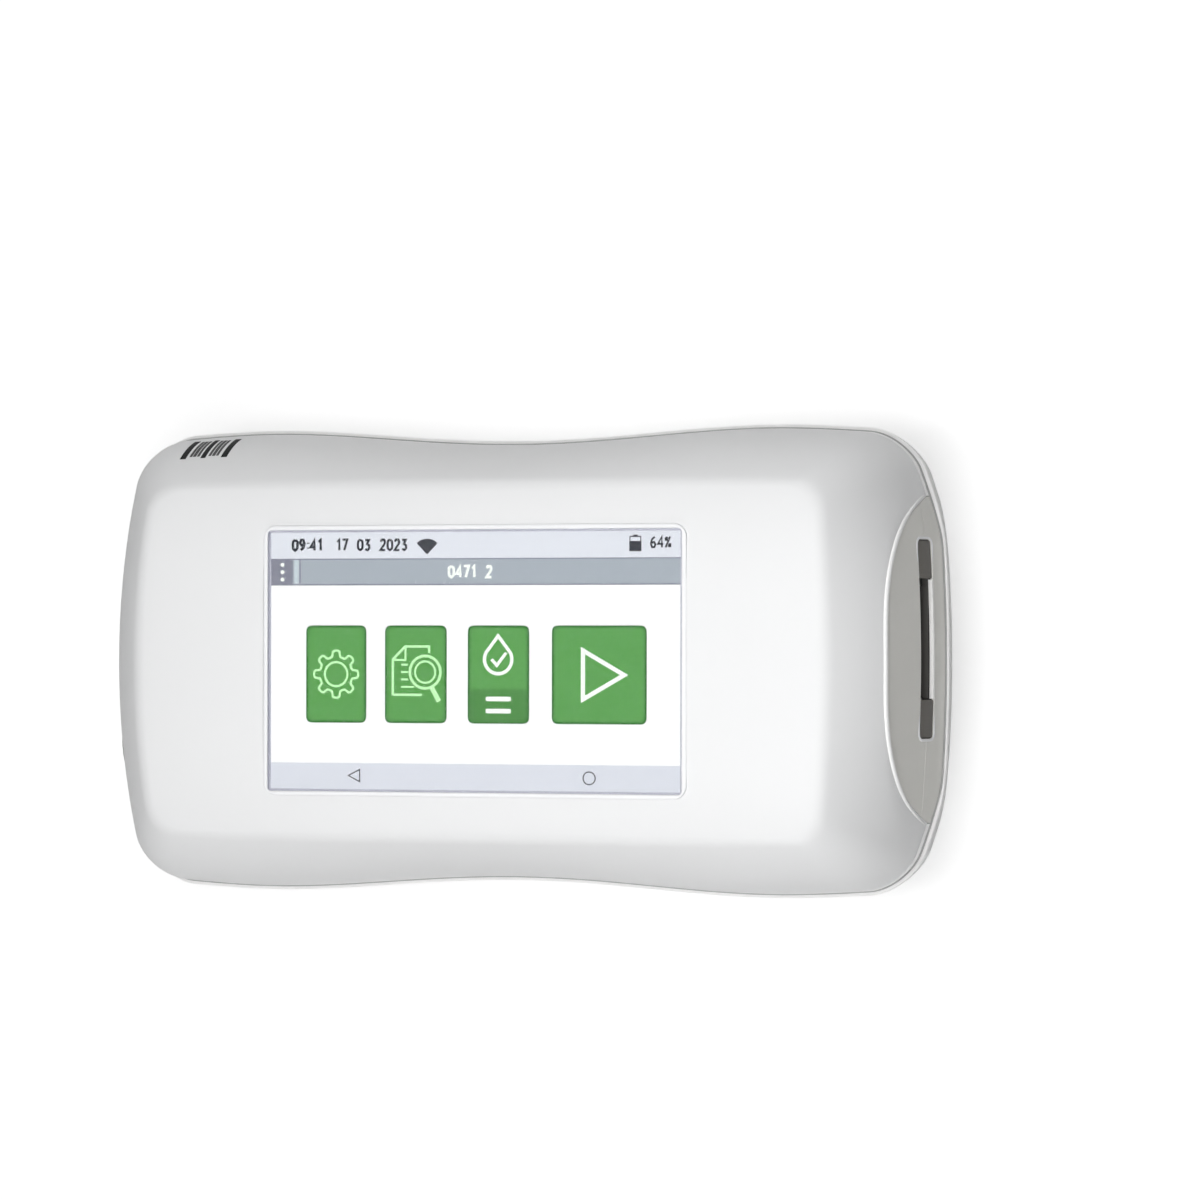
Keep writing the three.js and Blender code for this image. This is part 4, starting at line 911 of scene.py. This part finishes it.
def display_page():
    page = lit("page_white", 252, 253, 253)
    status = lit("page_status", 224, 228, 236)
    title = lit("page_title", 166, 175, 184)
    title_edge = lit("page_title_edge", 132, 134, 148)
    nav = lit("page_nav", 217, 221, 230)
    split = lit("page_title_cut", 196, 208, 214)
    tile = lit("tile_green", 86, 158, 76)
    tile_edge = lit("tile_edge", 50, 112, 48)
    tile_low = lit("tile_low", 72, 138, 64)
    icon = lit("icon_pale", 196, 250, 186)
    bright = lit("icon_white", 248, 254, 248)
    ink = lit("page_ink", 52, 54, 62)
    title_lines = [(0, 5.3, STATUS_FOOT, TITLE_FOOT, 1), (0, SCREEN_LONG, TITLE_LINE_LOW, TITLE_FOOT, 2),
                   (0, SCREEN_LONG, STATUS_FOOT, TITLE_LINE_TOP, 2), (6.9, 7.2, STATUS_FOOT, TITLE_FOOT, 2)]
    insides = [(u0 + TILE_EDGE, u1 - TILE_EDGE) for u0, u1 in TILES]
    inside_foot = TILE_FOOT - TILE_EDGE
    groups = {
        "page_sheet": [card(0, SCREEN_LONG, TITLE_FOOT, NAV_TOP, 0.05, 0, page)],
        "page_status_bar": [end_bar(STATUS_FOOT, 0, status)],
        "page_title_bar": [card(0, SCREEN_LONG, STATUS_FOOT, TITLE_FOOT, 0.02, 0, title)],
        "page_title_lines": [card(*spans, 0.02, level, title_edge) for *spans, level in title_lines],
        "page_title_split": [card(5.7, 6.7, TITLE_LINE_TOP, TITLE_LINE_LOW, 0.02, 1, split)],
        "page_nav_bar": [end_bar(NAV_TOP, SCREEN_WIDE, nav)],
        "tile_edges": [card(u0, u1, TILE_TOP, TILE_FOOT, 1.3, 1, tile_edge) for u0, u1 in TILES],
        "tile_faces": [card(u0, u1, TILE_TOP + TILE_EDGE, inside_foot, 0.9, 2, tile) for u0, u1 in insides],
        "tile_foot": [card(*insides[2], TILE_SPLIT, inside_foot, 0.85, 3, tile_low)],
        "icons_pale": gear((15.45, 31.0), icon) + document(icon),
        "icons_white": white_icons(bright),
        "page_inks": status_marks(ink),
    }
    for name, parts in groups.items():
        piece = joined(name, parts, 20)


# Printed mark on the far shoulder: plain bars that follow the surface, as pairs of place and width
BAR_START, BAR_LEAN, BAR_LEVELS, BAR_LIFT = -73.3, -1.2, 14, 0.05
BAR_HIGHEST, BAR_SPAN = 0.34, 0.37
HEAVY_BARS = [(0.1, 1.4), (4.9, 1.15), (9.9, 1.4)]
LIGHT_BARS = [(1.8, 0.6), (2.65, 0.75), (3.55, 0.6), (6.3, 0.6), (7.2, 0.75), (8.1, 0.6)]


def shoulder_marks():
    seam = grown(SEAM, -FLANK_INSET)
    narrow = body_outline(PLATEAU)
    edge_z = crown_height(narrow[:, 0], narrow[:, 1])
    levels = []
    for step in range(BAR_LEVELS + 1):
        share = BAR_HIGHEST + BAR_SPAN * step / BAR_LEVELS
        ring = flank_ring(PLATEAU, seam, share, SHOULDER_START, edge_z, UPPER_FOOT)
        side = ring[(ring[:, 1] > 0) & (ring[:, 0] < -30)]
        levels.append(side[np.argsort(side[:, 0])])

    def bar(x, wide, trim, look):
        rows = []
        for level in range(trim, BAR_LEVELS + 1 - trim):
            xs, ys, zs = levels[level].T
            leaned = x + BAR_LEAN * level / BAR_LEVELS
            edges = (leaned - wide / 2, leaned + wide / 2)
            rows.append([np.array((px, np.interp(px, xs, ys), np.interp(px, xs, zs))) for px in edges])
        rings = []
        for row, (left, right) in enumerate(rows):
            ahead, behind = rows[min(row + 1, len(rows) - 1)][0], rows[max(row - 1, 0)][0]
            normal = np.cross(right - left, ahead - behind)
            normal *= copysign(BAR_LIFT, normal[2]) / norm(normal)
            top = [left + normal, right + normal]
            rings.append(top + [point - (0, 0.1, 0.1) for point in top[::-1]])
        return lofted("bar", rings, look, "housing", 60)

    groups = (("bars_heavy", HEAVY_BARS, 0, ink_black), ("bars_light", LIGHT_BARS, 1, ink_grey))
    for name, bars, trim, ink in groups:
        piece = joined(name, [bar(BAR_START + x, wide, trim, ink) for x, wide in bars], 60)


# Button, flap and reader window follow the walls
CAP_RADIUS, CAP_STAND, CAP_INNER = 5.4, 0.35, -85.5
FLANGE_RADIUS, FLANGE_OUTER, FLANGE_INNER = 6.3, -86.3, -85.45
FLAP_LONG, FLAP_HIGH, FLAP_CORNER = 13.9, 7.9, 1
READER_GAP = 0.25


def power_button():
    skin = thin_out(upper_rings(inset=-CAP_STAND, steps=60, foot=False), 0.5)
    cap = rod(CAP_RADIUS, -110, CAP_INNER, BUTTON_AT, 72, "x", dark_plastic)
    cut(cap, [lofted("tool", skin)], "INTERSECT")
    bevel(cap, 0.45, 4, 45)
    flange = rod(FLANGE_RADIUS, FLANGE_OUTER, FLANGE_INNER, BUTTON_AT, 64, "x", dark_plastic)
    button = joined("button_piece", [cap, flange], 40)
    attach(button, "button")
    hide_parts("power_button")


def port_flap():
    tool = prism_x(rounded(FLAP_LONG, FLAP_HIGH, FLAP_CORNER, (0, PORT_HEIGHT)), (-110, -86))
    outer = wall_piece("flap_piece", 0.02, 1.4, tool, black_rubber)
    bevel(outer, 0.25, 3, 45)
    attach(outer, "flap")
    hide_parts("port_flap")


def reader_window():
    across = (READER_LEFT + READER_GAP, READER_RIGHT - READER_GAP)
    tool = box(across, (25, 60), (READER_LOW + READER_GAP, READER_TOP - READER_GAP))
    outer = wall_piece("reader_glass", 0.06, 2.3, tool, reader_pane)
    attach(outer, "housing")
    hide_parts("reader_window")


# Underside: door, screws, feet. Profiles are pairs of radius and height.
DOOR_GAP, DOOR_CORNER, DOOR_HEIGHTS = 0.6, 3, (1.7, 3.8)
RIB_START, RIB_STEP, RIB_WIDE, RIB_LONG, RIB_DEPTH = 17, 1.9, 0.9, 16, 2.1
STAR_RADIUS, STAR_WAVE, STAR_DEPTH = 0.55, 0.14, 0.6
DOOR_SCREW = dict(head_radius=2, low=2.0, head_high=1.2, shank_radius=1, tip=7.2)
CASE_SCREW = dict(head_radius=2.8, low=3.3, head_high=2, shank_radius=1.4, tip=31.3)
PAD_PROFILE = [(4.6, 0), (4.95, 0.06), (5.25, 0.24), (5.45, 0.6), (5.5, 1.0), (5.5, 2.2)]
CORE_PROFILE = [(2.6, 0), (2.8, 0.1), (2.9, 0.3), (2.9, 0.8)]
PAD_HOLLOW, PAD_HOLLOW_DEPTH = 3.3, 0.3


def battery_door():
    long, wide = DOOR_LONG - DOOR_GAP, DOOR_WIDE - DOOR_GAP
    leaf = plate(long, wide, DOOR_CORNER, DOOR_HEIGHTS, (DOOR_X, 0), 12, "door_leaf", lower_plastic)
    tools = []
    for x in DOOR_SCREWS:
        tools += [rod(2.3, 0, 3.5, (x, 0, 0), 40), rod(1.3, 0, 6, (x, 0, 0), 24)]
    for row in range(5):
        at = (DOOR_X + RIB_START + row * RIB_STEP, 0)
        tools.append(plate(RIB_WIDE, RIB_LONG, 0.4, (0, RIB_DEPTH), at))
    cut(leaf, tools)
    bevel(leaf, 0.25)
    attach(leaf, "housing")
    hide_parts("battery_door")


def star(radius, at):
    outline = []
    for i in range(36):
        a = 2 * pi * i / 36
        r = radius * (1 - STAR_WAVE + STAR_WAVE * cos(6 * a))
        outline.append((r * cos(a) + at[0], r * sin(a) + at[1]))
    return outline


def screw(name, node, at, head_radius, low, head_high, shank_radius, tip):
    high = low + head_high
    profile = [(head_radius - 0.35, low), (head_radius - 0.1, low + 0.1), (head_radius, low + 0.35),
               (head_radius, high), (shank_radius, high), (shank_radius, tip - shank_radius), (0.05, tip)]
    head = turned(name, profile, at, steel, 40)
    recess = prism(star(head_radius * STAR_RADIUS, at), (low - 1, low + head_high * STAR_DEPTH))
    cut(head, [recess], sharp=35)
    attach(head, "housing")
    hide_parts(node)


def screws_and_feet():
    for number, x in enumerate(DOOR_SCREWS, 1):
        screw(f"door_fixing_{number}", f"door_screw_{number}", (x, 0, 0), **DOOR_SCREW)
    for number, (screw_at, foot_at) in enumerate(zip(CASE_SCREWS, FEET), 1):
        screw(f"case_fixing_{number}", f"case_screw_{number}", screw_at, **CASE_SCREW)
        pad = turned(f"foot_pad_{number}", PAD_PROFILE, foot_at, black_rubber, 64)
        cut(pad, [rod(PAD_HOLLOW, -1, PAD_HOLLOW_DEPTH, foot_at, 48)], sharp=35)
        core = turned("core", CORE_PROFILE, foot_at, black_rubber)
        whole = joined(f"foot_pad_{number}", [pad, core])
        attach(whole, "housing")
        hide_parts(f"rubber_foot_{number}")


# CAD solids that stay as they are, with their finishes
def dress_nodes():
    finishes = (
        (black_plastic, "lcd_panel speaker lever_switch button_switch code_reader dock_block"),
        (steel, "processor_shield wireless_module stepper_motor lead_screw data_port"),
        (board_green, "main_board lamp_board detector_board side_board"),
        (mould_grey, "chassis bay_base cuvette_stop"),
        (dark_plastic, "cuvette_tray guide_rail_1 guide_rail_2"),
        (clear_resin, "battery_connector cuvette_lever pump_barrel"),
        (silicone, "pneumatic_seal pump_plunger air_tube"),
        (alloy, "lcd_frame heater_block"),
        (gold, "dock_contact_1 dock_contact_2"),
        (black_rubber, "display_gasket"),
        (amber_film, "display_cable"),
        (battery_wrap, "battery_pack"),
    )
    for look, names in finishes:
        for name in names.split():
            mesh = nodes[name].data
            mesh.materials.clear()
            mesh.materials.append(look)


# Studio: pale floor, pale surroundings, soft lamps. Lamps have a place, an aim, a size and a power.
FLOOR_HALF, FLOOR_TONE, FLOOR_GLOW, GLOW_SHARE = 4, 0.8, 3.6, 0.15
AROUND_LIGHT, AROUND_SEEN = 0.02, 1.0
LAMPS = {
    "overhead": ((0.12, -0.02, 0.45), (0.12, -0.02, 0), 0.25, 0.9),
    "mirrored": ((-0.25, -0.04, 0.8), (0, 0, 0), 0.26, 1.42),
    "far_side": ((0, 1.3, 0.8), (0, 0, 0), 0.8, 6.8),
    "near_side": ((0, -1.3, 0.8), (0, 0, 0), 0.8, 7.7),
}


def blend_shaders(tree, factor, first, second, output):
    blend = add_node(tree, "MixShader", {"Fac": factor, 1: first.outputs[0], 2: second.outputs[0]})
    tree.links.new(blend.outputs[0], tree.nodes[output].inputs["Surface"])


def studio():
    mesh = bpy.data.meshes.new("floor")
    mesh.from_pydata([(sx * FLOOR_HALF, sy * FLOOR_HALF, 0) for sx, sy in CORNERS], [], [(0, 1, 2, 3)])
    floor = placed("floor", mesh)
    look = bpy.data.materials.new("floor")
    look.use_nodes = True
    tree = look.node_tree
    tree.nodes.remove(tree.nodes["Principled BSDF"])
    matt = add_node(tree, "BsdfDiffuse", {"Color": [FLOOR_TONE] * 3 + [1]})
    glow = add_node(tree, "Emission", {"Strength": FLOOR_GLOW})
    seen = add_node(tree, "LightPath", {}).outputs["Is Camera Ray"]
    share = add_node(tree, "Math", {0: seen, 1: GLOW_SHARE}, operation="MULTIPLY")
    blend_shaders(tree, share.outputs[0], matt, glow, "Material Output")
    mesh.materials.append(look)

    world = bpy.data.worlds.new("surroundings")
    scene.world = world
    world.use_nodes = True
    tree = world.node_tree
    dim = tree.nodes["Background"]
    set_inputs(tree, dim, {"Color": (1, 1, 1, 1), "Strength": AROUND_LIGHT})
    pale = add_node(tree, "Background", {"Strength": AROUND_SEEN})
    rays = add_node(tree, "LightPath", {}).outputs
    either = add_node(tree, "Math", {0: rays["Is Camera Ray"], 1: rays["Is Glossy Ray"]}, operation="MAXIMUM")
    both = {0: either.outputs[0], 1: rays["Is Transmission Ray"]}
    seen = add_node(tree, "Math", both, operation="MAXIMUM")
    blend_shaders(tree, seen.outputs[0], dim, pale, "World Output")

    for name, (place, aim, size, power) in LAMPS.items():
        data = bpy.data.lights.new(name, "AREA")
        data.shape = "SQUARE"
        data.size = size
        data.energy = power
        lamp = placed(name, data)
        direction = Vector(aim) - Vector(place)
        lamp.rotation_euler = direction.to_track_quat("-Z", "Y").to_euler()
        lamp.location = place


upper_shell()
lower_shell()
seal()
end_panel()
screen_ring()
display_page()
shoulder_marks()
power_button()
port_flap()
reader_window()
battery_door()
screws_and_feet()
dress_nodes()
studio()
